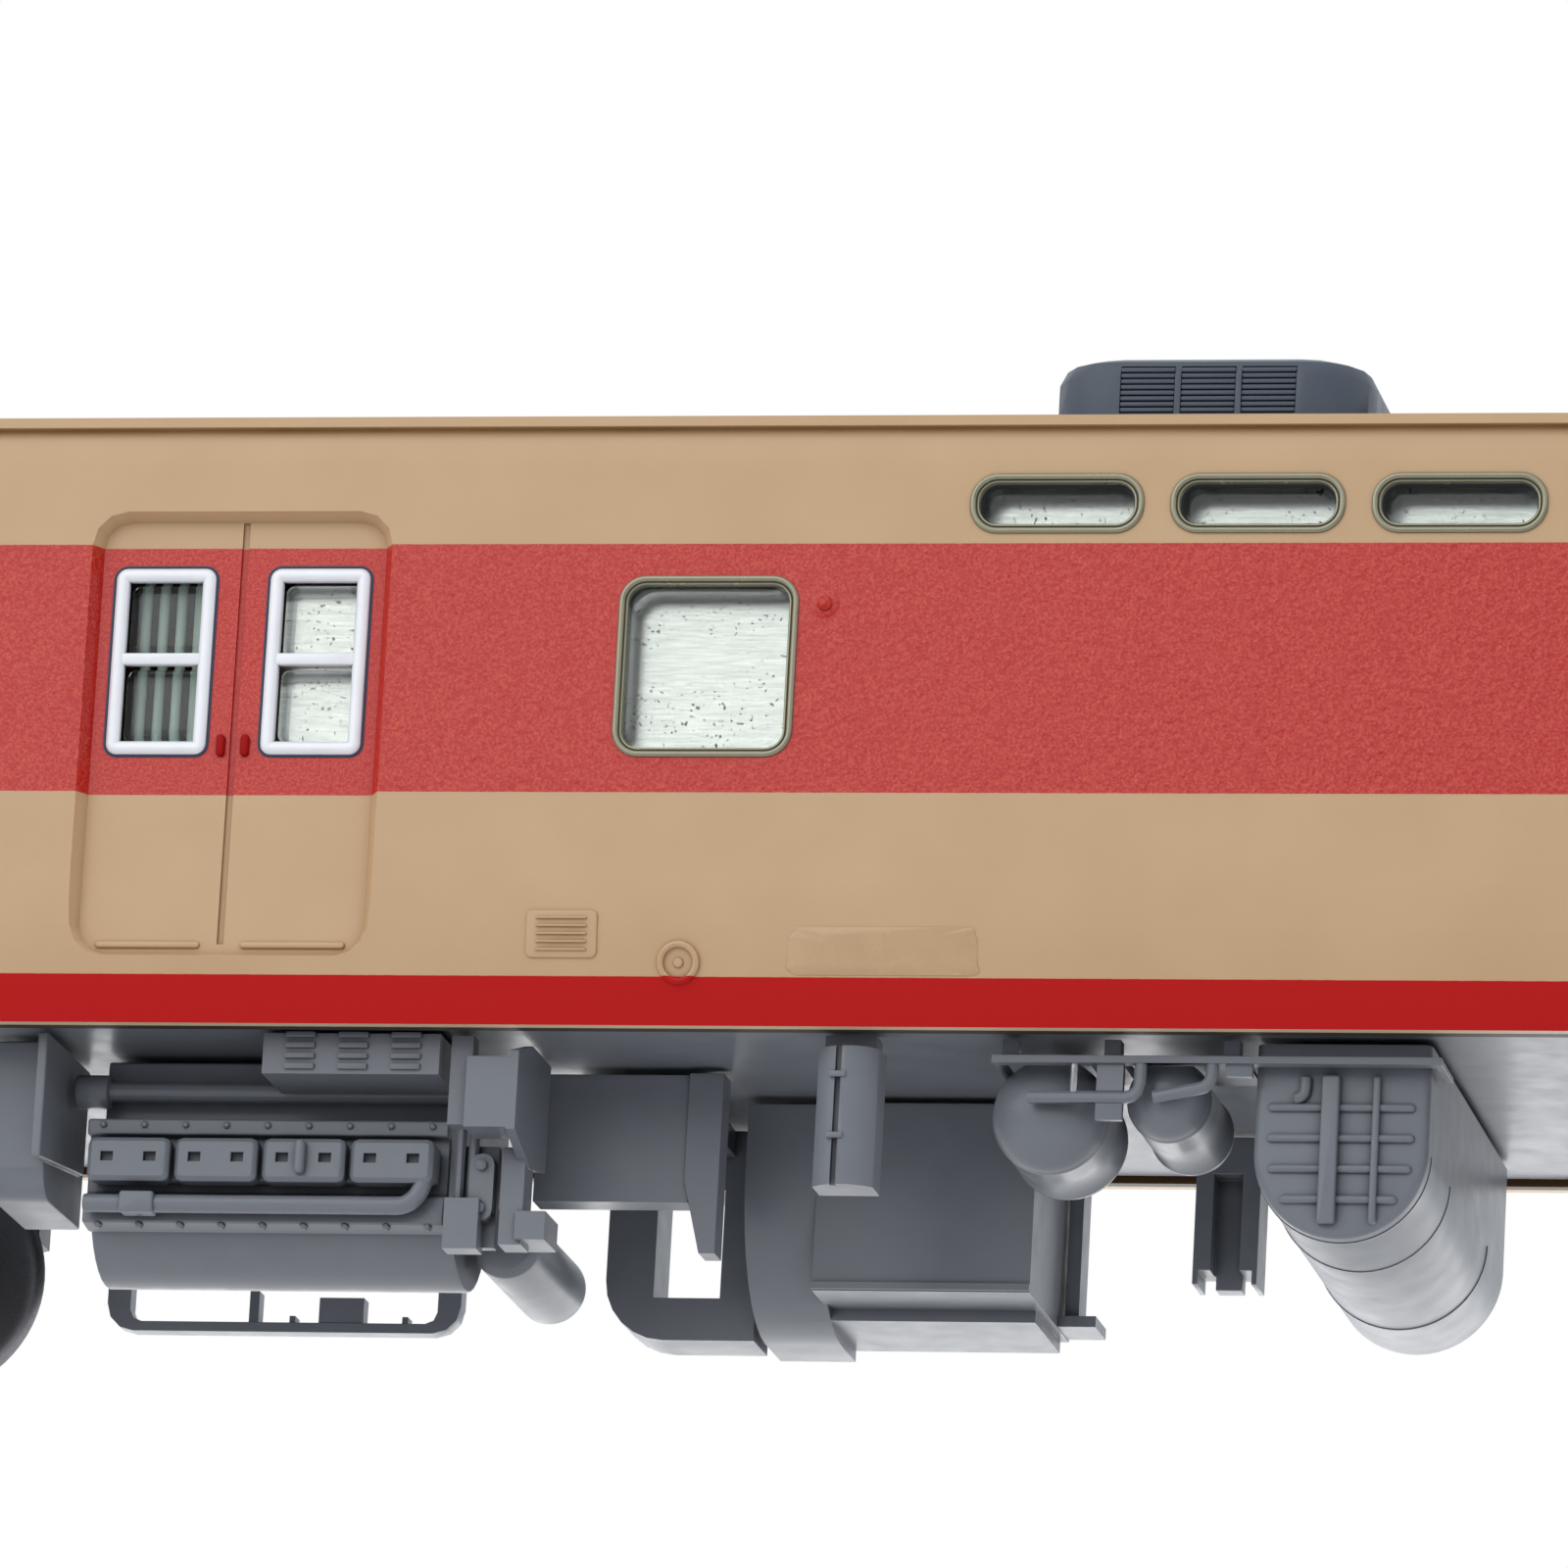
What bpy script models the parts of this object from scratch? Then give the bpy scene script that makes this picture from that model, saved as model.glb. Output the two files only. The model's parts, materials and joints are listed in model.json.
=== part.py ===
"""Diesel baggage coach from an express train, a 1:80 scale model for 16.5 mm track.

Lengths are millimetres until a mesh is made.  +X is the front end, -Y the right-hand
side, +Z is up, and Z = 0 lies under the wheel flanges.
"""

import math

import bmesh
import bpy

MM = 0.001
SMOOTH_ANGLE = math.radians(35.0)
FINE_RADIUS = 1.1           # corners above this radius get one more facet

# Clearances
FIT = 0.3                   # between fixed mouldings that touch
PANE_FIT = 0.15             # round each window pane
PRESS_GAP = 0.12            # between an axle and the wheel pressed on it
SWING_GAP = 0.6             # beside a bogie at the end of its swing
OVERLAP = 0.2               # how far one volume runs into the next inside a moulding
PAST = 1.0                  # how far a cutting volume runs past the face it cuts
HAIR = 0.05                 # keeps faces inside a moulding out of one plane

# Wheels and axles
BACK_TO_BACK = 14.4
WHEEL_WIDTH = 2.6
TREAD_RADIUS = 5.35
FLANGE_HEIGHT = 0.75
FLANGE_WIDTH = 0.75
RIM_THICKNESS = 1.0
DISH_DEPTH = 0.7
HUB_RADIUS = 1.7
WHEEL_SLOPE = 0.2           # taper of flange, tread and dish
WHEEL_SIDES = 20
AXLE_RADIUS = 0.75
AXLE_POINT = 0.9
AXLE_TIP_RADIUS = 0.2
AXLE_SIDES = 8
WHEELBASE = 26.25
WHEEL_CLEARANCE = 1.5       # between a flange and the floor above it

# Bogies
BOGIE_SWING_DEG = 12.0
SIDE_FRAME_GAP = 0.6
SIDE_FRAME_THICKNESS = 2.2
FRAME_OVERHANG = 4.8        # past the axle
BEAM_HEIGHT = 2.1
BEAM_ABOVE_AXLE = 2.1
AXLE_GUARD_WIDTH = 5.2
AXLE_GUARD_DROP = 1.9
SPRING_POCKET_WIDTH = 10.6
SPRING_POCKET_DROP = 2.5
AXLEBOX_RADIUS = 1.9
AXLEBOX_STANDOUT = 0.9
SPRING_RADIUS = 1.25
SPRING_PITCH = 4.6
COIL_RADIUS = 0.8
BEARING_RADIUS = 1.1
BEARING_DEPTH = 1.1
BOLSTER_LENGTH = 10.0
BOLSTER_HEIGHT = 4.2
PIVOT_BOSS_RADIUS = 3.5
PIVOT_BOSS_DROP = 1.4
KINGPIN_RADIUS = 0.9
KINGPIN_HEAD_RADIUS = 1.8
KINGPIN_HEAD_HEIGHT = 0.8

# Body shell
BODY_WIDTH = 36.3
BODY_HEIGHT = 30.0          # sill to gutter top
WALL = 1.3
END_WALL = 1.5
TUMBLEHOME_INSET = 1.15
TUMBLEHOME_HEIGHT = 7.0
COVE_INSET = 0.3
COVE_HEIGHT = 1.9
GUTTER_HEIGHT = 0.5
GUTTER_PROJECTION = 0.15
CORNER_RADIUS = 3.2
FRONT_FLAT = 11.0           # width of the flat centre of each end
FRONT_SWEEP = 1.0
FRONT_RAKE = 0.8
RAKE_HEIGHT = 13.6          # above the sill
BROW_DEPTH = 3.0

# Openings in the sides; heads hang from the eaves
OBLONG_COUNT = 5
OBLONG_PITCH = 9.75
OBLONG_WIDTH = 8.45
OBLONG_HEIGHT = 2.95
OBLONG_BELOW_EAVES = 4.4     # to the middle of the opening
OBLONG_CORNER = 1.35
WINDOW_WIDTH = 8.8
WINDOW_HEIGHT = 9.0
WINDOW_BELOW_EAVES = 8.0     # to the head of the opening
WINDOW_CORNER = 1.3
OBLONG_TO_WINDOW = 8.15     # plain wall between the two
WINDOW_TO_DOOR = 11.85
DOOR_WIDTH = 14.1
DOOR_BELOW_EAVES = 5.1
DOOR_SILL = 3.35            # above the sill
DOOR_CORNER = 1.3
DOOR_RECESS = 0.75
DOOR_JAMB = 0.5             # width of the sloped jamb
DOOR_HEAD = 0.45
DOOR_GROOVE_WIDTH = 0.34
DOOR_GROOVE_DEPTH = 0.14
LEAF_PANE_WIDTH = 4.9
LEAF_PANE_HEIGHT = 9.25
LEAF_PANE_BELOW_EAVES = 7.45
LEAF_PANE_CORNER = 0.5
LEAF_PANE_OFFSET = 3.85     # from the line where the leaves meet
CREW_DOOR_WIDTH = 7.4
CREW_DOOR_RECESS = 0.4
CREW_DOOR_FROM_END = 16.6
CREW_PANE_WIDTH = 4.4
CAB_WINDOW_WIDTH = 5.4
CAB_WINDOW_CORNER = 0.8
CAB_WINDOW_GAP = 2.2        # beside the crew door

# Openings in the ends
SCREEN_WIDTH = 8.0
SCREEN_HEIGHT = 7.8
SCREEN_BELOW_EAVES = 7.6
SCREEN_CORNER = 1.0
SCREEN_FROM_SIDE = 7.25
GANGWAY_WIDTH = 9.6
GANGWAY_BELOW_EAVES = 5.8
GANGWAY_RECESS = 0.6
GANGWAY_PANE_WIDTH = 5.2
GANGWAY_PANE_HEIGHT = 6.8
HEADLIGHT_RADIUS = 1.5
HEADLIGHT_FROM_SIDE = 6.35
HEADLIGHT_BELOW_EAVES = 3.4
TAIL_LIGHT_RADIUS = 0.95
TAIL_LIGHT_FROM_SIDE = 4.95
TAIL_LIGHT_ABOVE_SILL = 8.6

# Roof
ROOF_RISE = 3.6
ROOF_THICKNESS = 1.2
ROOF_SKIRT = 1.1
AC_LENGTH = 15.8
AC_X = 14.3
AC_WIDTH = 15.0
AC_ABOVE_CROWN = 2.7
AC_CORNER = 3.0
AC_EDGE = 1.1
AC_LOUVRE_WIDTH = 2.7
AC_LOUVRE_HEIGHT = 2.45
AC_LOUVRE_DROP = 0.6
AC_LOUVRE_DEPTH = 0.35
AC_LOUVRE_PITCH = 3.0

# Glazing and interior
GLAZING_THICKNESS = 0.8
GLAZING_MARGIN = 0.9
PANE_RECESS = 0.25
FLOOR_THICKNESS = 1.8
BALLAST_THICKNESS = 1.0
BALLAST_OVER_DOOR = 0.2     # past the line where the door leaves meet
LIGHT_BAR = 1.5

# Gangway bellows and couplers
BELLOWS_WIDTH = 12.4
BELLOWS_WALL = 1.2
BELLOWS_FOLDS = 3
FOLD_PITCH = 0.75
FOLD_DEPTH = 0.45
POCKET_LENGTH = 8.0
POCKET_WIDTH = 9.0
POCKET_PLATE = 0.8
POCKET_SETBACK = 5.0        # behind the body end
POCKET_GAP = 2.1            # between the pocket and a bogie at full swing
COUPLER_REACH = 3.1         # past the body end
COUPLER_THICKNESS = 1.6
COUPLER_EYE_RADIUS = 2.2
COUPLER_PIN_RADIUS = 0.75
COUPLER_SHANK_WIDTH = 2.4
COUPLER_HEAD_WIDTH = 4.6
COUPLER_HEAD_LENGTH = 4.4
COUPLER_HEAD_HEIGHT = 2.6

# Underfloor equipment, placed outwards from the fuel tank
GEAR_INSET = 0.4            # equipment faces inside the floor edge
TANK_X = -5.1
TANK_WIDTH = 8.4
TANK_DROP = 9.4
TANK_END_INSET = 1.4
TANK_FAR_INSET = 3.0
TANK_CHAMFER = 0.4
BEAD_HEIGHT = 0.42
BEAD_PITCH = 1.49
BEAD_COUNT = 4
BEAD_TOP_DROP = 3.1
BEAD_STANDOUT = 0.25
STRAP_WIDTH = 0.85
STRAP_STANDOUT = 0.55
RIB_WIDTH = 0.35
SMALL_RESERVOIR_RADIUS = 2.0
LARGE_RESERVOIR_RADIUS = 2.8
SMALL_RESERVOIR_LENGTH = 7.1  # between the domes
LARGE_RESERVOIR_LENGTH = 5.6
RESERVOIR_DOME = 1.8
RESERVOIR_HANG = 0.45       # below the floor
TANK_TO_RESERVOIR = 2.4
RESERVOIR_SPACING = 0.9
BRACKET_DROP = 0.9
BRACKET_LIP = 0.38
BRACKET_STANDOUT = 0.3
BRACKET_SHELF = 0.3
BRACKET_DEPTH = 4.2
PIPE_RADIUS = 0.32
PIPE_BEND = 0.7
LARGE_PIPE_PAST = 4.7       # from the middle of the reservoir to the upright end
LARGE_PIPE_RUN = 5.4
LARGE_PIPE_DROP = 2.0
SMALL_PIPE_PAST = 2.45
SMALL_PIPE_RUN = 2.8
SMALL_PIPE_DROP = 1.55
PIPE_SLANT = 0.42
WEB_WIDTH = 1.3
WEB_DROP = 3.1
SHORT_WEB_DROP = 0.95
HANGER_WIDTH = 0.8
CASE_WIDTH = 2.95
CASE_DEPTH = 2.6
CASE_DROP = 7.5
CASE_NECK = 0.7
CASE_STANDOUT = 1.2         # past the equipment face
CASE_BOW = 0.75
CASE_GROOVE_WIDTH = 0.28
CASE_GROOVE_DEPTH = 0.35
CASE_CLIP_WIDTH = 0.8
CASE_TO_RESERVOIR = 5.1
REAR_CASE_WIDTH = 3.2
REAR_CASE_DROP = 7.4
REAR_CASE_GAP = 2.8
REAR_CASE_SETBACK = 7.0     # from the left-hand equipment face
REAR_CASE_NOTCH = 0.7
GENERATOR_LENGTH = 10.8
GENERATOR_DEPTH = 11.3
GENERATOR_SETBACK = 5.0     # from the left-hand equipment face
GENERATOR_DROP = 9.4
TRAY_DEPTH = 7.2
TRAY_HEIGHT = 0.6
GENERATOR_FOOT = 1.9
TRAY_LIP = 0.4
TRAY_LIP_STANDOUT = 0.25
POST_WIDTH = 0.7
POST_DEPTH = 2.0
GENERATOR_GAP = 6.8         # from the rear case
DRUM_LENGTH = 3.6
DRUM_ROUND = 7.0
DRUM_DROP = 10.6
SHROUD_LENGTH = 7.6
SHROUD_DEPTH = 3.5
SHROUD_SETBACK = 7.0        # from the left-hand equipment face
SHROUD_DROP = 10.7
SHROUD_ROUND = 3.0
SHROUD_GAP = 0.35
DUCT_SETBACK = 7.9          # from the right-hand equipment face
DUCT_DROP = 6.4
DUCT_DEPTH = 1.8
DUCT_ARM = 1.4              # height of the arm from the duct back to the shroud
DUCT_OVERHANG = 1.3
RIB_BAR_WIDTH = 1.7
RIB_BAR_DEPTH = 1.5
RIB_BAR_DROP = 8.95
RIB_BAR_PAST = 0.3          # past the right-hand edge of the shroud
RIB_BAR_TAPER = 0.9
RIB_BAR_TAPER_HEIGHT = 3.6
ENGINE_GAP = 4.5            # from the shroud to the engine block
GUARD_SETBACK = 2.5         # from the left-hand equipment face
GUARD_THICKNESS = 1.1
GUARD_DROP = 9.0
GUARD_RAIL = 0.5
GUARD_POST = 1.2
GUARD_ROUND = 1.4
# start from the right end, width and height of each stub on the bottom rail
GUARD_STUBS = ((2.7, 0.3, 0.35), (5.0, 2.3, 1.3), (8.5, 0.3, 0.35), (10.4, 0.5, 1.6))
ENGINE_LENGTH = 18.0
ENGINE_DROP = 10.8
ENGINE_FACE_INSET = 3.2
ENGINE_FAR_INSET = 14.0
CRANKCASE_SETBACK = 3.0     # of the upper crankcase behind the engine's face
ENGINE_STEP = 0.4           # of the wall behind the head covers
LEDGE_STANDOUT = 0.25
LEDGE_HEIGHT = 0.8
LOWER_LEDGE_HEIGHT = 1.4
SUMP_SETBACK = 1.2
SUMP_RADIUS = 4.0
HEAD_COUNT = 4
HEAD_PITCH = 4.36
HEAD_WIDTH = 4.1
HEAD_HEIGHT = 2.15
HEAD_STANDOUT = 0.95
HEAD_TOP_DROP = 4.8
HEAD_PORT = 0.62
HEAD_RAIL = 0.75
HEAD_CORNER = 0.35
HEAD_BEVEL = 0.22
HEAD_PORT_DROP = 1.2
HEAD_PORT_DEPTH = 0.4
EXHAUST_RADIUS = 0.5
EXHAUST_COLLAR_RADIUS = 0.85
EXHAUST_COLLAR_LENGTH = 1.7
EXHAUST_DROP = 1.8
LOUVRE_BOX_LENGTH = 8.75
LOUVRE_BOX_DEPTH = 5.5
LOUVRE_BOX_DROP = 2.0
LOUVRE_COLUMNS = 3
LOUVRE_ROWS = 4
LOUVRE_WIDTH = 1.45
LOUVRE_PITCH_X = 2.62
LOUVRE_PITCH_Z = 0.52
LOUVRE_FIRST_X = 1.85       # from the left end of the box to the first column
LOUVRE_FIRST_Z = 0.36
LOUVRE_BAR = 0.26
LOUVRE_STANDOUT = 0.15
PUMP_WIDTH = 2.2
PUMP_DEPTH = 1.2
PUMP_DROP = 10.1
PUMP_SETBACK = 0.6          # of its back behind the engine's face
VALVE_WIDTH = 1.7
VALVE_HEIGHT = 2.5
VALVE_STANDOUT = 1.2
LINK_WIDTH = 1.2
LINK_HEIGHT = 3.3
LINK_RISE = 1.5             # above the foot of the pump
LINK_STANDOUT = 0.7
ROD_RADIUS = 0.27
ROD_PITCH = 0.65
ROD_TOP_DROP = 2.4
STEP_PLATE = 0.45
STEP_BOX_WIDTH = 2.1
STEP_BOX_HEIGHT = 3.5
STEP_DEPTH = 7.2
STEP_DROP = 9.8
STEP_STANDOUT = 0.6         # past the equipment face
STEP_BOX_DROP = 1.2
STEP_BOX_DEPTH = 2.6
STEP_POST_WIDTH = 1.1
STEP_POST_OVERHANG = 1.0    # of the post past the left side of the box
STEP_COLUMN_WIDTH = 1.15
STEP_COLUMN_DEPTH = 1.8
STEP_COLUMN_SETBACK = 3.0
STEP_PAD = 1.6
SILENCER_RADIUS = 1.75
SILENCER_LENGTH = 11.0
SILENCER_DROP = 8.5         # to its middle
SILENCER_SETBACK = 4.4      # behind the face of the engine
SILENCER_EDGE = 0.4
GEARBOX_LENGTH = 2.6
GEARBOX_DROP = 7.7
GEARBOX_DEPTH = 7.5
GEARBOX_PLATE = 0.5
GEARBOX_SETBACK = 2.0       # from the right-hand equipment face
GEARBOX_CORNER = 1.5
GEARBOX_PLATE_DROP = 6.2
GEARBOX_PLATE_TAPER = 1.0
GEARBOX_GAP = 1.5           # from the engine block
BATTERY_LENGTH = 16.0
BATTERY_DEPTH = 6.4
BATTERY_DROP = 7.8
BATTERY_GAP = 10.0          # from the tank
BATTERY_DOOR_MARGIN = 0.8
BATTERY_DOOR_DEPTH = 0.35
RADIATOR_LENGTH = 17.0
RADIATOR_DEPTH = 7.6
RADIATOR_DROP = 8.6
RADIATOR_FRAME = 1.2
RADIATOR_FINS = 9
FIN_WIDTH = 0.8
FIN_DEPTH = 0.7
BOX_SPACING = 4.0
CABINET_LENGTH = 14.0
CABINET_DEPTH = 6.0
CABINET_DROP = 7.0
CABINET_CHAMFER = 1.0
CABINET_LID_MARGIN = 0.8
CABINET_LID_DEPTH = 0.3
CYLINDER_RADIUS = 2.6
CYLINDER_LENGTH = 20.0
CYLINDER_INSET = 0.6        # from the left-hand equipment face
CYLINDER_DOME = 1.2

# Heights and half widths that follow from the sizes above
FLANGE_RADIUS = TREAD_RADIUS + FLANGE_HEIGHT
AXLE_Z = FLANGE_RADIUS * math.cos(math.pi / WHEEL_SIDES)
WHEEL_OUTER = BACK_TO_BACK / 2 + WHEEL_WIDTH
FRAME_INNER = WHEEL_OUTER + SIDE_FRAME_GAP
FRAME_OUTER = FRAME_INNER + SIDE_FRAME_THICKNESS
FRAME_HALF = WHEELBASE / 2 + FRAME_OVERHANG
FLOOR_Z = AXLE_Z + FLANGE_RADIUS + WHEEL_CLEARANCE
FLOOR_TOP = FLOOR_Z + FLOOR_THICKNESS
HANG_Z = FLOOR_Z - FIT      # top of whatever hangs under the floor
SILL_Z = FLOOR_Z - FIT
EAVES_Z = SILL_Z + BODY_HEIGHT
CROWN_Z = EAVES_Z + ROOF_RISE
HALF_WIDTH = BODY_WIDTH / 2
SILL_HALF = HALF_WIDTH - TUMBLEHOME_INSET
INNER_HALF = HALF_WIDTH - WALL
FLOOR_HALF = SILL_HALF - WALL - FIT
GEAR_FACE = FLOOR_HALF - GEAR_INSET
ROOF_HALF = INNER_HALF - FIT
OBLONG_LOW = EAVES_Z - OBLONG_BELOW_EAVES - OBLONG_HEIGHT / 2
WINDOW_LOW = EAVES_Z - WINDOW_BELOW_EAVES - WINDOW_HEIGHT
DOOR_LOW = SILL_Z + DOOR_SILL
DOOR_HIGH = EAVES_Z - DOOR_BELOW_EAVES
LEAF_PANE_LOW = EAVES_Z - LEAF_PANE_BELOW_EAVES - LEAF_PANE_HEIGHT
SCREEN_LOW = EAVES_Z - SCREEN_BELOW_EAVES - SCREEN_HEIGHT
SCREEN_OFFSET = HALF_WIDTH - SCREEN_FROM_SIDE
GANGWAY_HIGH = EAVES_Z - GANGWAY_BELOW_EAVES
HEADLIGHT_OFFSET = HALF_WIDTH - HEADLIGHT_FROM_SIDE
HEADLIGHT_Z = EAVES_Z - HEADLIGHT_BELOW_EAVES
TAIL_LIGHT_OFFSET = HALF_WIDTH - TAIL_LIGHT_FROM_SIDE
TAIL_LIGHT_Z = SILL_Z + TAIL_LIGHT_ABOVE_SILL
ROOF_RADIUS = (ROOF_HALF ** 2 + ROOF_RISE ** 2) / (2 * ROOF_RISE)

# Places along the underfloor, from the fuel tank to the rear
TANK_LEFT = TANK_X - TANK_WIDTH / 2
SMALL_RESERVOIR_X = TANK_LEFT - TANK_TO_RESERVOIR - SMALL_RESERVOIR_RADIUS
LARGE_RESERVOIR_X = (SMALL_RESERVOIR_X - SMALL_RESERVOIR_RADIUS - RESERVOIR_SPACING
                     - LARGE_RESERVOIR_RADIUS)
BRACKET_LEFT = LARGE_RESERVOIR_X - LARGE_RESERVOIR_RADIUS + FIT
CASE_X = LARGE_RESERVOIR_X - LARGE_RESERVOIR_RADIUS - CASE_TO_RESERVOIR - CASE_WIDTH / 2
REAR_CASE_X = TANK_LEFT - REAR_CASE_GAP - REAR_CASE_WIDTH / 2
GENERATOR_RIGHT = REAR_CASE_X - REAR_CASE_WIDTH / 2 - GENERATOR_GAP
GENERATOR_LEFT = GENERATOR_RIGHT - GENERATOR_LENGTH
SHROUD_RIGHT = GENERATOR_LEFT - DRUM_LENGTH - SHROUD_GAP
SHROUD_LEFT = SHROUD_RIGHT - SHROUD_LENGTH
ENGINE_RIGHT = SHROUD_LEFT - ENGINE_GAP
ENGINE_LEFT = ENGINE_RIGHT - ENGINE_LENGTH
ENGINE_FACE = GEAR_FACE - ENGINE_FACE_INSET
GEARBOX_RIGHT = ENGINE_LEFT - GEARBOX_GAP
GEARBOX_LEFT = GEARBOX_RIGHT - GEARBOX_PLATE - GEARBOX_LENGTH

# Places along the underfloor, from the fuel tank to the front
BATTERY_LEFT = TANK_X + TANK_WIDTH / 2 + BATTERY_GAP
RADIATOR_LEFT = BATTERY_LEFT + BATTERY_LENGTH + BOX_SPACING
CABINET_LEFT = RADIATOR_LEFT + RADIATOR_LENGTH + BOX_SPACING
CABINET_RIGHT = CABINET_LEFT + CABINET_LENGTH

# Bogie and body positions that leave every swing clear
SWING = math.radians(BOGIE_SWING_DEG)
BOGIE_REACH = max(
    (WHEELBASE / 2 + FLANGE_RADIUS) * math.cos(SWING) + WHEEL_OUTER * math.sin(SWING),
    FRAME_HALF * math.cos(SWING) + (FRAME_OUTER + AXLEBOX_STANDOUT) * math.sin(SWING))
BOGIE_X = max(-GEARBOX_LEFT, CABINET_RIGHT) + SWING_GAP + BOGIE_REACH
POCKET_INNER = BOGIE_X + BOGIE_REACH + POCKET_GAP
BODY_HALF = POCKET_INNER + POCKET_LENGTH + POCKET_SETBACK
COUPLER_PIVOT_X = POCKET_INNER + POCKET_LENGTH / 2
ROOF_END = BODY_HALF - FRONT_RAKE - BROW_DEPTH - FIT

# Places along the side, from the middle of the coach outwards
WINDOW_X = ((OBLONG_COUNT - 1) / 2 * OBLONG_PITCH + OBLONG_WIDTH / 2 + OBLONG_TO_WINDOW
            + WINDOW_WIDTH / 2)
DOOR_X = WINDOW_X + WINDOW_WIDTH / 2 + WINDOW_TO_DOOR + DOOR_WIDTH / 2
CREW_DOOR_X = BODY_HALF - CREW_DOOR_FROM_END
CAB_WINDOW_X = CREW_DOOR_X + CREW_DOOR_WIDTH / 2 + CAB_WINDOW_GAP + CAB_WINDOW_WIDTH / 2
END_WINDOW_X = (DOOR_X + DOOR_WIDTH / 2 + CREW_DOOR_X - CREW_DOOR_WIDTH / 2) / 2

FINISHES = {
    "cream_paint": ((0.55, 0.38, 0.24), 0.45, 0.0),
    "roof_grey": ((0.10, 0.11, 0.12), 0.6, 0.0),
    "unit_grey": ((0.06, 0.07, 0.08), 0.55, 0.0),
    "clear_plastic": ((0.75, 0.77, 0.76), 0.1, 0.0),
    "lens_plastic": ((0.80, 0.80, 0.78), 0.1, 0.0),
    "plated_steel": ((0.72, 0.72, 0.72), 0.25, 1.0),
    "underfloor_grey": ((0.20, 0.21, 0.22), 0.6, 0.0),
    "bogie_grey": ((0.13, 0.135, 0.14), 0.65, 0.0),
    "wheel_metal": ((0.35, 0.35, 0.36), 0.35, 1.0),
    "axle_steel": ((0.55, 0.55, 0.56), 0.3, 1.0),
    "bellows_grey": ((0.09, 0.09, 0.10), 0.8, 0.0),
    "coupler_black": ((0.03, 0.03, 0.03), 0.6, 0.0),
}


# Outlines

def arc(centre, radius, start, end, steps):
    """Points on a circle from one angle to another, in degrees, both ends included."""
    angles = [math.radians(start + (end - start) * i / steps) for i in range(steps + 1)]
    return [(centre[0] + radius * math.cos(a), centre[1] + radius * math.sin(a)) for a in angles]


def rectangle(low_u, low_v, high_u, high_v):
    """Corners of a rectangle."""
    return [(low_u, low_v), (high_u, low_v), (high_u, high_v), (low_u, high_v)]


def rounded(low_u, low_v, high_u, high_v, radius, steps=None):
    """A rectangle with four round corners."""
    steps = steps or (3 if radius > FINE_RADIUS else 2)
    centres = [(high_u - radius, low_v + radius, -90), (high_u - radius, high_v - radius, 0),
               (low_u + radius, high_v - radius, 90), (low_u + radius, low_v + radius, 180)]
    points = []
    for u, v, start in centres:
        points += arc((u, v), radius, start, start + 90, steps)
    return points


def mirrored(half):
    """A closed outline from its right half, which runs from bottom to top."""
    return half + [(-u, v) for u, v in reversed(half)]


def bulge(inset, height):
    """Radius of the arc that leaves a straight line and moves in by inset over height."""
    return (inset ** 2 + height ** 2) / (2 * inset)


# Solids

def put(axis, u, v, along):
    """A point of an outline that is carried along the named axis."""
    return {"x": (along, u, v), "y": (u, along, v), "z": (u, v, along)}[axis]


def loft(loops, ring=False):
    """A closed mesh through matching loops of points; a ring joins the last to the first."""
    shape = bmesh.new()
    rows = [[shape.verts.new([c * MM for c in point]) for point in loop] for loop in loops]
    pairs = list(zip(rows, rows[1:]))
    if ring:
        pairs.append((rows[-1], rows[0]))
    else:
        shape.faces.new(rows[0])
        shape.faces.new(rows[-1])
    for low, high in pairs:
        for i, corner in enumerate(low):
            j = (i + 1) % len(low)
            shape.faces.new((corner, low[j], high[j], high[i]))
    bmesh.ops.recalc_face_normals(shape, faces=shape.faces)
    mesh = bpy.data.meshes.new("shape")
    shape.to_mesh(mesh)
    shape.free()
    return mesh


def prism(outline, axis, start, end):
    """An outline carried straight along an axis."""
    return loft([[put(axis, u, v, along) for u, v in outline] for along in (start, end)])


def block(low, high):
    """A box between two corners."""
    return prism(rectangle(low[0], low[1], high[0], high[1]), "z", low[2], high[2])


def turned(profile, axis, centre, sides, ring=False):
    """A profile of (along, radius) points turned round an axis, one flat side facing down."""
    loops = []
    for along, radius in profile:
        phase = 270.0 - 180.0 / sides
        circle = arc(centre, radius, phase, phase + 360.0 * (sides - 1) / sides, sides - 1)
        loops.append([put(axis, u, v, along) for u, v in circle])
    return loft(loops, ring)


def cylinder(axis, centre, radius, start, end, sides=12):
    """A plain round bar."""
    return turned([(start, radius), (end, radius)], axis, centre, sides)


def swept(path, y, radius, sides):
    """A round bar along a path of (x, z) points in the upright plane at y."""
    turn = 180.0 / sides
    ring = arc((0.0, 0.0), radius, turn, 360.0 - turn, sides - 1)
    loops = []
    for i, (x, z) in enumerate(path):
        before = path[max(i - 1, 0)]
        after = path[min(i + 1, len(path) - 1)]
        lean = math.atan2(after[1] - before[1], after[0] - before[0])
        loops.append([(x - v * math.sin(lean), y + u, z + v * math.cos(lean)) for u, v in ring])
    return loft(loops)


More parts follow.
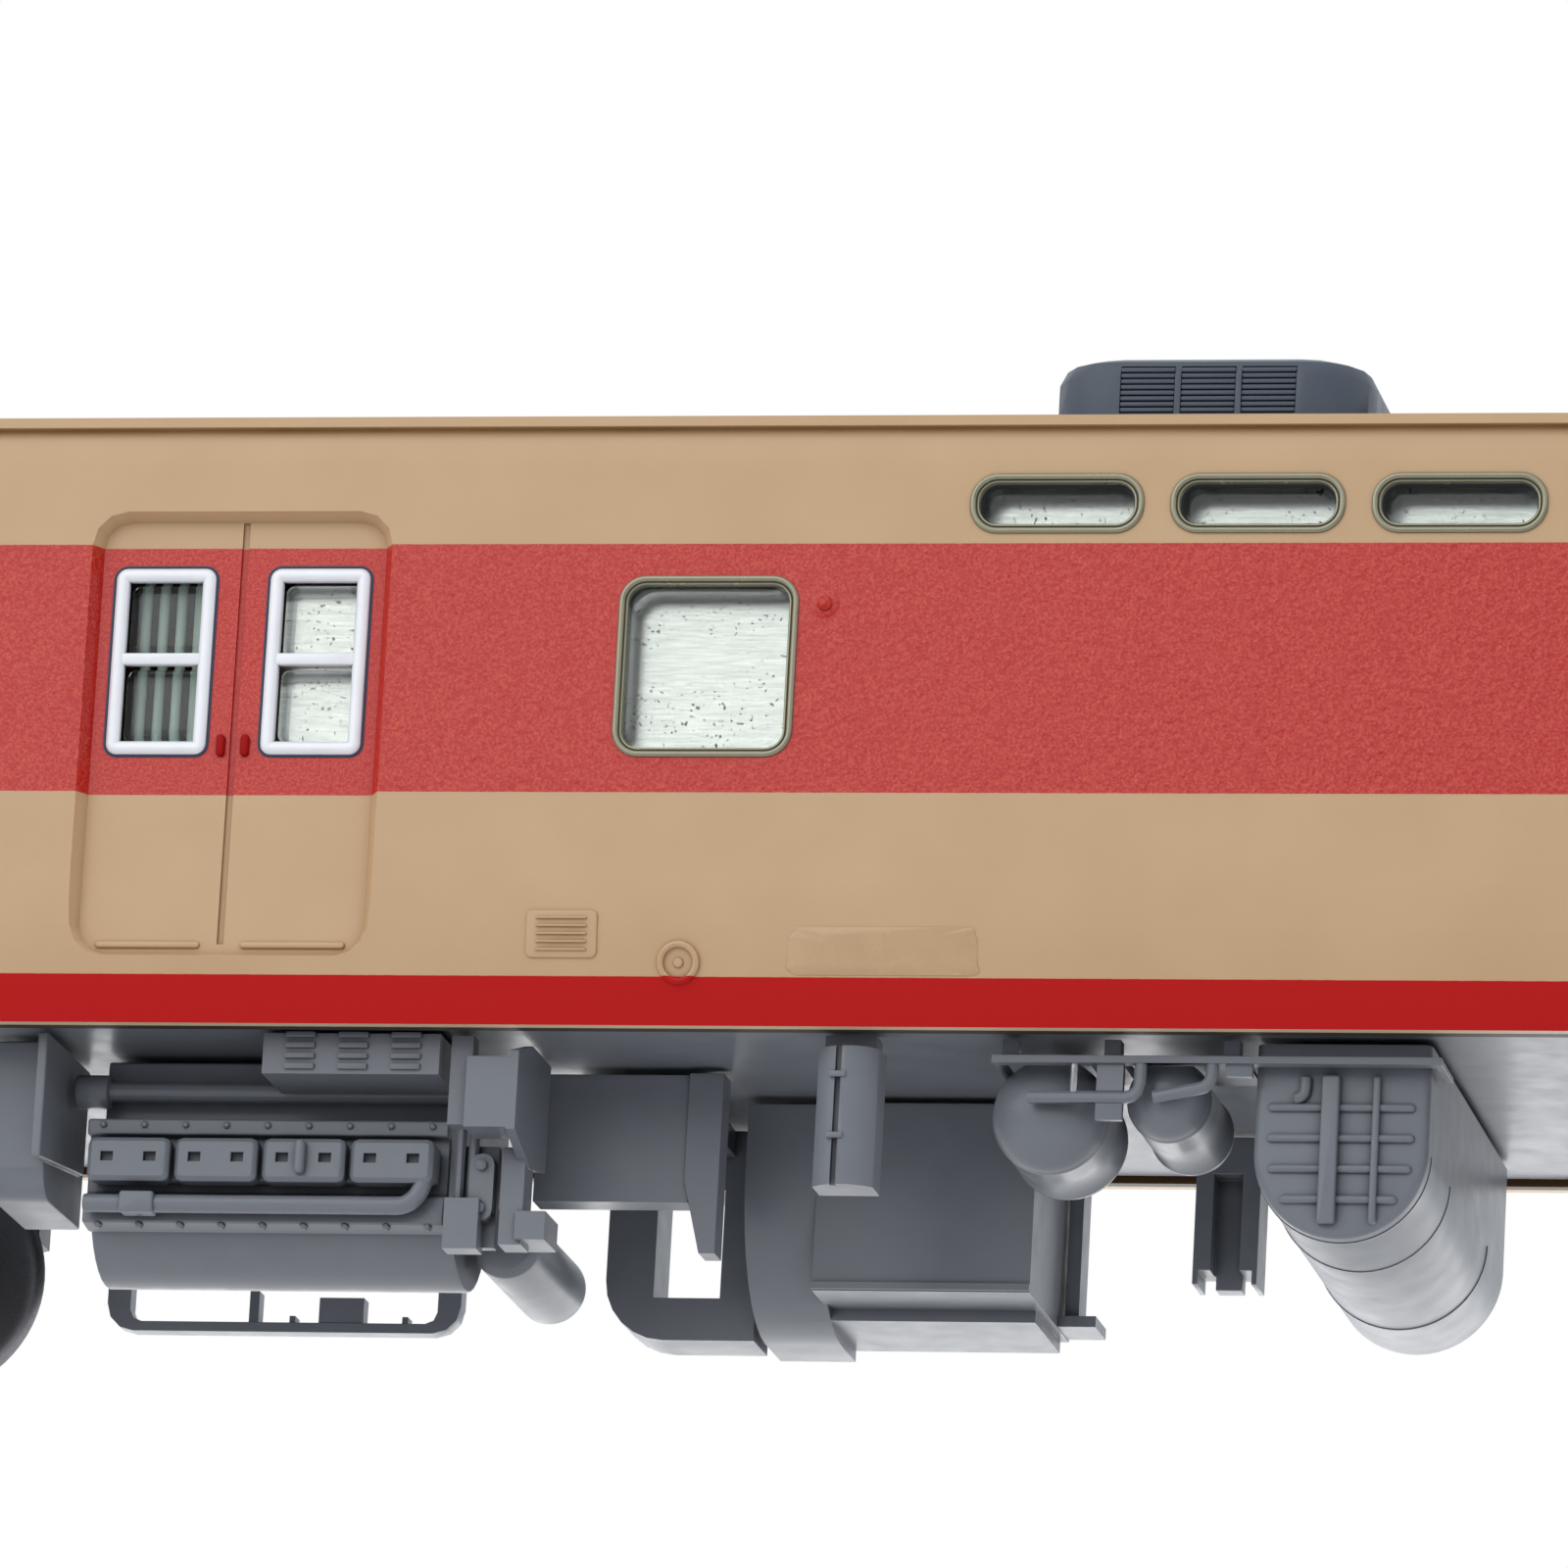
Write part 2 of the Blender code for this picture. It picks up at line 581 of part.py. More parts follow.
def form(base, keep=(), add=(), cut=()):
    """One mesh from a base that is trimmed to some volumes, joined with some and cut by others."""
    part = bpy.data.objects.new("form", base)
    bpy.context.scene.collection.objects.link(part)
    tools = []
    for operation, shapes in (("INTERSECT", keep), ("UNION", add), ("DIFFERENCE", cut)):
        for shape in shapes:
            tool = bpy.data.objects.new("tool", shape)
            tool.hide_render = True
            tool.display_type = "WIRE"
            bpy.context.scene.collection.objects.link(tool)
            step = part.modifiers.new(operation.lower(), "BOOLEAN")
            step.operation = operation
            step.solver = "EXACT"
            step.object = tool
            tools.append(tool)
    bpy.context.view_layer.update()
    graph = bpy.context.evaluated_depsgraph_get()
    finished = bpy.data.meshes.new_from_object(part.evaluated_get(graph))
    for spent in [part, *tools]:
        mesh = spent.data
        bpy.data.objects.remove(spent)
        bpy.data.meshes.remove(mesh)
    return finished


# Pieces

def make_finishes():
    """One Principled material for each finish."""
    made = {}
    for name, (colour, roughness, metallic) in FINISHES.items():
        material = bpy.data.materials.new(name)
        material.use_nodes = True
        shader = material.node_tree.nodes["Principled BSDF"]
        shader.inputs["Base Color"].default_value = (*colour, 1.0)
        shader.inputs["Roughness"].default_value = roughness
        shader.inputs["Metallic"].default_value = metallic
        made[name] = material
    return made


def piece(name, mesh, material, location=(0.0, 0.0, 0.0), turn=0.0, parent=None):
    """A named part; location is in the parent's frame and turn is in degrees about Z."""
    if not mesh.materials:
        mesh.materials.append(material)
        mesh.shade_smooth()
        mesh.set_sharp_from_angle(angle=SMOOTH_ANGLE)
        mesh.name = name
    part = bpy.data.objects.new(name, mesh)
    part.location = [c * MM for c in location]
    part.rotation_euler = (0.0, 0.0, math.radians(turn))
    part.parent = parent
    bpy.context.scene.collection.objects.link(part)
    return part


def pivot(name, location, parent=None):
    """An empty on a joint's axis."""
    empty = bpy.data.objects.new(name, None)
    empty.location = [c * MM for c in location]
    empty.parent = parent
    bpy.context.scene.collection.objects.link(empty)
    return empty


# Body shell

def side_arc(inset, steps):
    """The curved foot of the side, from the sill up to where the side turns upright."""
    radius = bulge(TUMBLEHOME_INSET, TUMBLEHOME_HEIGHT)
    foot = math.degrees(math.asin(TUMBLEHOME_HEIGHT / radius))
    centre = (HALF_WIDTH - inset - radius, SILL_Z + TUMBLEHOME_HEIGHT)
    return arc(centre, radius, -foot, 0.0, steps)


def outer_section():
    """Cross-section of the body with its curved foot, cove and gutter."""
    cove = bulge(COVE_INSET, COVE_HEIGHT)
    lean = math.degrees(math.asin(COVE_HEIGHT / cove))
    gutter_z = EAVES_Z - GUTTER_HEIGHT
    half = side_arc(0.0, 6)
    half += arc((HALF_WIDTH - cove, gutter_z - COVE_HEIGHT), cove, 0.0, lean, 3)
    half += [(HALF_WIDTH + GUTTER_PROJECTION, gutter_z), (HALF_WIDTH + GUTTER_PROJECTION, EAVES_Z)]
    return mirrored(half)


def inner_section():
    """Cross-section of the space inside the body, open above and below."""
    half = [(SILL_HALF - WALL, SILL_Z - PAST)] + side_arc(WALL, 4) + [(INNER_HALF, EAVES_Z + PAST)]
    return mirrored(half)


def end_plan(end_inset, side_inset, steps):
    """Plan of the body with swept ends and round corners, moved in from the outer skin."""
    end = BODY_HALF - end_inset
    side = HALF_WIDTH + GUTTER_PROJECTION - side_inset
    radius = CORNER_RADIUS - side_inset
    flat = FRONT_FLAT / 2
    shoulder = end - FRONT_SWEEP
    corner = arc((shoulder - radius, side - radius), radius, 0.0, 90.0, steps)
    right = [(end, flat)] + corner
    half = [(u, -v) for u, v in reversed(right)] + right
    return half + [(-u, -v) for u, v in half]


def end_elevation(end_inset, foot):
    """Side view of the body with raked ends that curve back into the roof."""
    end = BODY_HALF - end_inset
    top = end - FRONT_RAKE
    brow = [(top - BROW_DEPTH * (1 - math.cos(a)), EAVES_Z + (ROOF_RISE + OVERLAP) * math.sin(a))
            for a in (math.radians(d) for d in (0, 25, 50, 75))]
    half = [(end, foot), (end, SILL_Z + RAKE_HEIGHT)] + brow
    half += [(top - BROW_DEPTH, EAVES_Z + ROOF_RISE + OVERLAP)]
    return mirrored(half)


def roof_arc(extra, steps):
    """The roof's curve from side to side, raised by extra."""
    radius = ROOF_RADIUS + extra
    lean = math.degrees(math.asin(min(1.0, ROOF_HALF / ROOF_RADIUS)))
    return arc((0.0, CROWN_Z - ROOF_RADIUS), radius, 90.0 - lean, 90.0 + lean, steps)


def side_windows():
    """Every opening that goes through the sides: low x, low z, high x, high z, corner radius."""
    boxes = []
    for i in range(OBLONG_COUNT):
        x = (i - (OBLONG_COUNT - 1) / 2) * OBLONG_PITCH
        boxes.append((x, OBLONG_WIDTH, OBLONG_LOW, OBLONG_HEIGHT, OBLONG_CORNER))
    for side in (-1, 1):
        for x in (WINDOW_X, END_WINDOW_X):
            boxes.append((side * x, WINDOW_WIDTH, WINDOW_LOW, WINDOW_HEIGHT, WINDOW_CORNER))
        for offset in (-LEAF_PANE_OFFSET, LEAF_PANE_OFFSET):
            boxes.append((side * DOOR_X + offset, LEAF_PANE_WIDTH, LEAF_PANE_LOW,
                          LEAF_PANE_HEIGHT, LEAF_PANE_CORNER))
        boxes.append((side * CREW_DOOR_X, CREW_PANE_WIDTH, LEAF_PANE_LOW,
                      LEAF_PANE_HEIGHT, LEAF_PANE_CORNER))
        boxes.append((side * CAB_WINDOW_X, CAB_WINDOW_WIDTH, WINDOW_LOW,
                      WINDOW_HEIGHT, CAB_WINDOW_CORNER))
    return [(x - w / 2, low, x + w / 2, low + h, r) for x, w, low, h, r in boxes]


def end_windows():
    """Openings through the ends: low y, low z, high y, high z, corner radius."""
    low = SCREEN_LOW
    boxes = [(-GANGWAY_PANE_WIDTH / 2, low, GANGWAY_PANE_WIDTH / 2, low + GANGWAY_PANE_HEIGHT,
              LEAF_PANE_CORNER)]
    for side in (-1, 1):
        y = side * SCREEN_OFFSET
        boxes.append((y - SCREEN_WIDTH / 2, low, y + SCREEN_WIDTH / 2, low + SCREEN_HEIGHT,
                      SCREEN_CORNER))
    return boxes


def shrunk(box, margin):
    """A window box drawn in by a margin all round."""
    low_u, low_v, high_u, high_v, radius = box
    return (low_u + margin, low_v + margin, high_u - margin, high_v - margin,
            max(radius - margin, 0.1))


def door_pocket(x, side, width, recess):
    """The tapered space in front of a recessed door."""
    leaf = rounded(x - width / 2, DOOR_LOW, x + width / 2, DOOR_HIGH, DOOR_CORNER)
    mouth = rounded(x - width / 2 - DOOR_JAMB, DOOR_LOW - DOOR_HEAD, x + width / 2 + DOOR_JAMB,
                    DOOR_HIGH + DOOR_HEAD, DOOR_CORNER + DOOR_HEAD)
    depths = ((leaf, HALF_WIDTH - recess), (mouth, HALF_WIDTH + OVERLAP / 2), (mouth, HALF_WIDTH + PAST))
    return loft([[put("y", u, v, side * y) for u, v in outline] for outline, y in depths])


def body_shell():
    """The painted body moulding: sides, raked ends, brows over the ends and all its openings."""
    brow = [(HALF_WIDTH, EAVES_Z - PAST)] + roof_arc(0.0, 8) + [(-HALF_WIDTH, EAVES_Z - PAST)]
    brow_back = ROOF_END + FIT
    brows = [prism(brow, "x", end * brow_back, end * (BODY_HALF + PAST)) for end in (-1, 1)]
    block_form = form(prism(outer_section(), "x", -BODY_HALF - PAST, BODY_HALF + PAST), add=brows)
    outside = form(block_form, keep=[
        prism(end_plan(0.0, 0.0, 4), "z", SILL_Z - PAST, CROWN_Z + PAST),
        prism(end_elevation(0.0, SILL_Z - PAST), "y", -HALF_WIDTH - PAST, HALF_WIDTH + PAST)])
    side_inset = WALL + GUTTER_PROJECTION
    space = form(prism(inner_section(), "x", -BODY_HALF, BODY_HALF), keep=[
        prism(end_plan(END_WALL, side_inset, 3), "z", SILL_Z - 2 * PAST, EAVES_Z + 2 * PAST),
        prism(end_elevation(END_WALL, SILL_Z - 2 * PAST), "y", -HALF_WIDTH, HALF_WIDTH)])

    cuts = [space]
    for end in (-1, 1):
        for side in (-1, 1):
            cuts.append(door_pocket(end * DOOR_X, side, DOOR_WIDTH, DOOR_RECESS))
            cuts.append(door_pocket(end * CREW_DOOR_X, side, CREW_DOOR_WIDTH, CREW_DOOR_RECESS))
            face = HALF_WIDTH - DOOR_RECESS
            low_y, high_y = sorted((side * (face - DOOR_GROOVE_DEPTH), side * HALF_WIDTH))
            cuts.append(block((end * DOOR_X - DOOR_GROOVE_WIDTH / 2, low_y, DOOR_LOW + DOOR_HEAD),
                              (end * DOOR_X + DOOR_GROOVE_WIDTH / 2, high_y, DOOR_HIGH)))
        low_x, high_x = sorted((end * (BODY_HALF - GANGWAY_RECESS), end * (BODY_HALF + PAST)))
        cuts.append(block((low_x, -GANGWAY_WIDTH / 2, SILL_Z + WALL),
                          (high_x, GANGWAY_WIDTH / 2, GANGWAY_HIGH)))
    for box in side_windows():
        cuts.append(prism(rounded(*box), "y", -HALF_WIDTH - PAST, HALF_WIDTH + PAST))
    for box in end_windows():
        cuts.append(prism(rounded(*box, steps=2), "x", -BODY_HALF - PAST, BODY_HALF + PAST))
    for side in (-1, 1):
        for radius, offset, z in ((HEADLIGHT_RADIUS, HEADLIGHT_OFFSET, HEADLIGHT_Z),
                                  (TAIL_LIGHT_RADIUS, TAIL_LIGHT_OFFSET, TAIL_LIGHT_Z)):
            cuts.append(cylinder("x", (side * offset, z), radius,
                                 -BODY_HALF - PAST, BODY_HALF + PAST, 12))
    return form(outside, cut=cuts)


# Glazing, lights, floor and ballast

def side_glazing():
    """A clear strip behind the right side, with a raised pane in every window."""
    outer = INNER_HALF - FIT
    low = min(box[1] for box in side_windows()) - GLAZING_MARGIN
    high = max(box[3] for box in side_windows()) + GLAZING_MARGIN
    reach = BODY_HALF - FRONT_SWEEP - CORNER_RADIUS - FIT
    strip = block((-reach, -outer, low), (reach, GLAZING_THICKNESS - outer, high))
    panes = []
    for box in side_windows():
        face = HALF_WIDTH - PANE_RECESS
        for x, width, recess in ((DOOR_X, DOOR_WIDTH, DOOR_RECESS),
                                 (CREW_DOOR_X, CREW_DOOR_WIDTH, CREW_DOOR_RECESS)):
            if abs(abs(box[0] + box[2]) / 2 - x) < width / 2:
                face = HALF_WIDTH - recess - PANE_RECESS / 2
        outline = rounded(*shrunk(box, PANE_FIT))
        panes.append(prism(outline, "y", -face, OVERLAP - outer))
    return form(strip, add=panes)


def end_glazing():
    """A clear plate behind the front end, with panes for both windscreens and the gangway door."""
    back = BODY_HALF - END_WALL - FRONT_SWEEP - FRONT_RAKE - FIT
    boxes = end_windows()
    half = max(box[2] for box in boxes) + GLAZING_MARGIN / 2
    low = boxes[0][1] - GLAZING_MARGIN
    high = max(box[3] for box in boxes) + GLAZING_MARGIN
    plate = block((back - GLAZING_THICKNESS, -half, low), (back, half, high))
    panes = []
    for box in boxes:
        middle = abs(box[0] + box[2]) / 2
        sweep = FRONT_SWEEP * max(0.0, middle - FRONT_FLAT / 2) / (HALF_WIDTH - FRONT_FLAT / 2)
        face = BODY_HALF - FRONT_RAKE - max(sweep, GANGWAY_RECESS - FRONT_RAKE / 2)
        panes.append(prism(rounded(*shrunk(box, PANE_FIT), steps=2), "x", back - OVERLAP, face))
    return form(plate, add=panes)


def light_guide():
    """One clear moulding inside the front end that ends in two headlights and two tail lamps."""
    back = BODY_HALF - END_WALL - FRONT_SWEEP - FRONT_RAKE - GLAZING_THICKNESS - FIT * 3
    head_z = HEADLIGHT_Z
    tail_z = TAIL_LIGHT_Z
    half = LIGHT_BAR / 2
    span = max(TAIL_LIGHT_OFFSET, HEADLIGHT_OFFSET) + TAIL_LIGHT_RADIUS - FIT
    bar = block((back - LIGHT_BAR, -span, head_z - half), (back, span, head_z + half))
    tip = BODY_HALF - FRONT_SWEEP * HEADLIGHT_OFFSET / HALF_WIDTH
    stem = block((back - LIGHT_BAR + 0.1, -half, tail_z - half + 0.1), (back - 0.1, half, head_z))
    foot = block((back - LIGHT_BAR, -span, tail_z - half), (back, span, tail_z + half))
    lenses = [stem, foot]
    for side in (-1, 1):
        lenses.append(cylinder("x", (side * HEADLIGHT_OFFSET, head_z), HEADLIGHT_RADIUS - FIT,
                               back - OVERLAP, tip - FRONT_RAKE, 12))
        lenses.append(cylinder("x", (side * TAIL_LIGHT_OFFSET, tail_z), TAIL_LIGHT_RADIUS - FIT,
                               back - OVERLAP, tip, 10))
    return form(bar, add=lenses)


def floor_frame():
    """The chassis floor with a pivot boss over each bogie and a hole for each kingpin."""
    reach = BODY_HALF - END_WALL - FRONT_SWEEP - FIT
    chamfer = CORNER_RADIUS - WALL
    right = [(reach, FLOOR_HALF - chamfer), (reach - chamfer, FLOOR_HALF)]
    half = [(u, -v) for u, v in reversed(right)] + right
    plan = half + [(-u, -v) for u, v in half]
    bosses = []
    holes = []
    for end in (-1, 1):
        centre = (end * BOGIE_X, 0.0)
        bosses.append(cylinder("z", centre, PIVOT_BOSS_RADIUS, FLOOR_Z - PIVOT_BOSS_DROP,
                               FLOOR_Z + OVERLAP, 16))
        holes.append(cylinder("z", centre, KINGPIN_RADIUS + FIT, FLOOR_Z - PIVOT_BOSS_DROP - PAST,
                              FLOOR_TOP + PAST, 10))
    return form(prism(plan, "z", FLOOR_Z, FLOOR_TOP), add=bosses, cut=holes)


def ballast_plate():
    """A plated steel weight that stands on the floor behind the right-hand glazing."""
    outer = INNER_HALF - FIT - GLAZING_THICKNESS - FIT
    reach = DOOR_X + BALLAST_OVER_DOOR
    high = max(box[3] for box in side_windows()) + GLAZING_MARGIN
    return block((-reach, -outer, FLOOR_TOP + FIT), (reach, BALLAST_THICKNESS - outer, high))


# Roof

def roof_shell():
    """The arched roof, dropped between the body sides behind the gutters."""
    base = EAVES_Z - ROOF_SKIRT
    outer = [(ROOF_HALF, base)] + roof_arc(0.0, 12) + [(-ROOF_HALF, base)]
    lean = ROOF_HALF - ROOF_THICKNESS
    inner = [(lean, base - PAST)]
    inner += [(u * lean / ROOF_HALF, v - ROOF_THICKNESS) for u, v in roof_arc(0.0, 8)]
    inner += [(-lean, base - PAST)]
    hollow = prism(inner, "x", ROOF_THICKNESS - ROOF_END, ROOF_END - ROOF_THICKNESS)
    return form(prism(outer, "x", -ROOF_END, ROOF_END), cut=[hollow])


def over_roof(reach):
    """The space that the roof takes, with its fitting gap, along a reach each side of x = 0."""
    outline = [(ROOF_HALF, EAVES_Z - PAST)] + roof_arc(FIT, 12) + [(-ROOF_HALF, EAVES_Z - PAST)]
    return prism(outline, "x", -reach, reach)


def cooling_unit():
    """A roof air conditioner with round corners and louvred panels in both long sides."""
    top = CROWN_Z + AC_ABOVE_CROWN
    half_x, half_y = AC_LENGTH / 2, AC_WIDTH / 2
    levels = ((0.0, EAVES_Z), (0.0, top - AC_EDGE), (AC_EDGE * 0.3, top - AC_EDGE * 0.3), (AC_EDGE, top))
    loops = []
    for inset, z in levels:
        plan = rounded(inset - half_x, inset - half_y, half_x - inset, half_y - inset,
                       AC_CORNER - inset * 0.5, 4)
        loops.append([put("z", u, v, z) for u, v in plan])
    louvre_top = top - AC_LOUVRE_DROP
    panels = []
    for side in (-1, 1):
        for i in (-1, 0, 1):
            low_y, high_y = sorted((side * (half_y - AC_LOUVRE_DEPTH), side * (half_y + PAST)))
            x = i * AC_LOUVRE_PITCH
            panels.append(block((x - AC_LOUVRE_WIDTH / 2, low_y, louvre_top - AC_LOUVRE_HEIGHT),
                                (x + AC_LOUVRE_WIDTH / 2, high_y, louvre_top)))
    return form(loft(loops), cut=[over_roof(AC_LENGTH), *panels])


# Ends

def gangway_bellows():
    """A folded gangway connection in front of the front end door, open through the middle."""
    start = BODY_HALF + FIT
    low = SILL_Z + FIT
    high = GANGWAY_HIGH + BELLOWS_WALL
    inner = BELLOWS_WIDTH / 2 - BELLOWS_WALL
    hole = rounded(-inner, low + BELLOWS_WALL, inner, high - BELLOWS_WALL, 0.6, 1)
    loops = []
    for i in range(BELLOWS_FOLDS):
        for inset, along in ((FOLD_DEPTH, 0.0), (0.0, FOLD_PITCH / 2)):
            half = BELLOWS_WIDTH / 2 - inset
            outline = rounded(-half, low + inset, half, high - inset, 0.8, 2)
            loops.append([put("x", u, v, start + i * FOLD_PITCH + along) for u, v in outline])
    length = loops[-1][0][0] + PAST
    return form(loft(loops), cut=[prism(hole, "x", BODY_HALF - PAST, length)])


def coupler_pocket():
    """The plate under the front of the floor that carries the coupler on a headed pin."""
    top = HANG_Z
    under = top - POCKET_PLATE
    eye_top = under - FIT
    eye_low = eye_top - COUPLER_THICKNESS
    head = eye_low - FIT
    plate = block((POCKET_INNER, -POCKET_WIDTH / 2, under),
                  (POCKET_INNER + POCKET_LENGTH, POCKET_WIDTH / 2, top))
    rear = block((POCKET_INNER, -POCKET_WIDTH / 2 + 0.1, eye_low),
                 (POCKET_INNER + POCKET_PLATE, POCKET_WIDTH / 2 - 0.1, under + OVERLAP))
    pin = turned([(head - POCKET_PLATE, COUPLER_PIN_RADIUS * 1.8), (head, COUPLER_PIN_RADIUS * 1.8),
                  (head, COUPLER_PIN_RADIUS), (under + OVERLAP, COUPLER_PIN_RADIUS)],
                 "z", (COUPLER_PIVOT_X, 0.0), 12)
    return form(plate, add=[rear, pin])


def coupler():
    """A hook-jaw coupler, modelled about its pivot, with an eye, a shank and a knuckle head."""
    top = HANG_Z - POCKET_PLATE - FIT
    low = top - COUPLER_THICKNESS
    mid = (top + low) / 2
    tip = BODY_HALF + COUPLER_REACH - COUPLER_PIVOT_X
    neck = tip - COUPLER_HEAD_LENGTH
    half = COUPLER_HEAD_WIDTH / 2
    eye = cylinder("z", (0.0, 0.0), COUPLER_EYE_RADIUS, low, top, 16)
    shank = block((0.0, -COUPLER_SHANK_WIDTH / 2, low + 0.05),
                  (neck + OVERLAP, COUPLER_SHANK_WIDTH / 2, top - 0.05))
    jaw = [(neck, -COUPLER_SHANK_WIDTH / 2), (neck + 1.0, -half), (tip, -half), (tip, -half * 0.35),
           (tip - 1.6, -half * 0.2), (tip - 1.9, half * 0.35), (tip - 0.5, half * 0.6),
           (tip - 0.5, half), (neck + 0.6, half), (neck, COUPLER_SHANK_WIDTH / 2)]
    head = prism(jaw, "z", mid - COUPLER_HEAD_HEIGHT / 2, mid + COUPLER_HEAD_HEIGHT / 2)
    hole = cylinder("z", (0.0, 0.0), COUPLER_PIN_RADIUS + FIT, low - PAST, top + PAST, 12)
    return form(eye, add=[shank, head], cut=[hole])


# Bogies, modelled about the pivot on the coach's centre line

def wheel():
    """A flanged wheel with a dished face and a hub, its back at y = 0 and its face towards -Y."""
    bore = AXLE_RADIUS + PRESS_GAP
    web = TREAD_RADIUS - RIM_THICKNESS
    dish = WHEEL_WIDTH - DISH_DEPTH
    profile = [(0.0, bore), (0.0, FLANGE_RADIUS - WHEEL_SLOPE), (FLANGE_WIDTH * 0.4, FLANGE_RADIUS),
               (FLANGE_WIDTH, TREAD_RADIUS + WHEEL_SLOPE / 2),
               (WHEEL_WIDTH, TREAD_RADIUS - WHEEL_SLOPE), (WHEEL_WIDTH, web),
               (dish, web - WHEEL_SLOPE), (dish, HUB_RADIUS + WHEEL_SLOPE),
               (WHEEL_WIDTH, HUB_RADIUS), (WHEEL_WIDTH, bore)]
    outward = [(-along, radius) for along, radius in profile]
    return turned(outward, "y", (0.0, 0.0), WHEEL_SIDES, ring=True)


def axle():
    """A pin-point axle whose tips run in the side frames."""
    half = FRAME_INNER + BEARING_DEPTH - FIT
    profile = [(-half, AXLE_TIP_RADIUS), (AXLE_POINT - half, AXLE_RADIUS),
               (half - AXLE_POINT, AXLE_RADIUS), (half, AXLE_TIP_RADIUS)]
    return turned(profile, "y", (0.0, 0.0), AXLE_SIDES)


def side_frame():
    """The right-hand side frame with axle guards, axleboxes, coil springs and bearing holes."""
    beam_low = AXLE_Z + BEAM_ABOVE_AXLE
    beam_top = beam_low + BEAM_HEIGHT
    axle_x = WHEELBASE / 2
    guard = AXLE_GUARD_WIDTH / 2
    pocket = SPRING_POCKET_WIDTH / 2
    half = [(pocket * 0.85, AXLE_Z - SPRING_POCKET_DROP), (pocket, beam_low - 1.2),
            (axle_x - guard, beam_low), (axle_x - guard * 0.8, AXLE_Z - AXLE_GUARD_DROP),
            (axle_x + guard * 0.8, AXLE_Z - AXLE_GUARD_DROP), (axle_x + guard, beam_low),
            (FRAME_HALF, beam_low + 0.5), (FRAME_HALF, beam_top - 0.3), (FRAME_HALF - 1.2, beam_top)]
    plate = prism(mirrored(half), "y", -FRAME_OUTER, -FRAME_INNER)
    face = -FRAME_OUTER
    proud = face - AXLEBOX_STANDOUT
    added = []
    bearings = []
    for end in (-1, 1):
        x = end * axle_x
        added.append(turned([(proud, AXLEBOX_RADIUS * 0.75), (proud + 0.3, AXLEBOX_RADIUS),
                             (face + OVERLAP, AXLEBOX_RADIUS)], "y", (x, AXLE_Z), 12))
        for offset in (-1, 1):
            coil = x + offset * (guard + COIL_RADIUS * 0.6)
            added.append(cylinder("z", (coil, face), COIL_RADIUS, AXLE_Z - 0.6, beam_low + 0.7, 8))
        added.append(cylinder("z", (end * SPRING_PITCH / 2, face), SPRING_RADIUS,
                              AXLE_Z - SPRING_POCKET_DROP + 0.6, beam_low + 0.9, 10))
        bearings.append(cylinder("y", (x, AXLE_Z), BEARING_RADIUS, -FRAME_INNER - BEARING_DEPTH,
                                 PAST - FRAME_INNER, 10))
    seat = block((-pocket * 0.8, proud - 0.4, AXLE_Z - SPRING_POCKET_DROP + 0.1),
                 (pocket * 0.8, face + OVERLAP, AXLE_Z - SPRING_POCKET_DROP + 0.9))
    return form(plate, add=[*added, seat], cut=bearings)


def bolster():
    """The cross beam between the side frames, with the kingpin's hole and its recessed head seat."""
    top = FLOOR_Z - PIVOT_BOSS_DROP - FIT
    low = top - BOLSTER_HEIGHT
    half = FRAME_INNER - FIT
    outline = [(-half, low + 1.6), (-half * 0.55, low), (half * 0.55, low), (half, low + 1.6),
               (half, top - 1.4), (half * 0.6, top), (-half * 0.6, top), (-half, top - 1.4)]
    beam = prism(outline, "x", -BOLSTER_LENGTH / 2, BOLSTER_LENGTH / 2)
    hole = cylinder("z", (0.0, 0.0), KINGPIN_RADIUS + FIT, low - PAST, top + PAST, 12)
    seat = cylinder("z", (0.0, 0.0), KINGPIN_HEAD_RADIUS + FIT, low - PAST,
                    low + KINGPIN_HEAD_HEIGHT + FIT, 12)
    return form(beam, cut=[hole, seat])


def kingpin():
    """The headed screw that holds a bogie under the floor."""
    low = FLOOR_Z - PIVOT_BOSS_DROP - FIT - BOLSTER_HEIGHT
    return turned([(low, KINGPIN_HEAD_RADIUS), (low + KINGPIN_HEAD_HEIGHT, KINGPIN_HEAD_RADIUS),
                   (low + KINGPIN_HEAD_HEIGHT, KINGPIN_RADIUS), (FLOOR_TOP - FIT, KINGPIN_RADIUS)],
                  "z", (0.0, 0.0), 12)


# Underfloor equipment

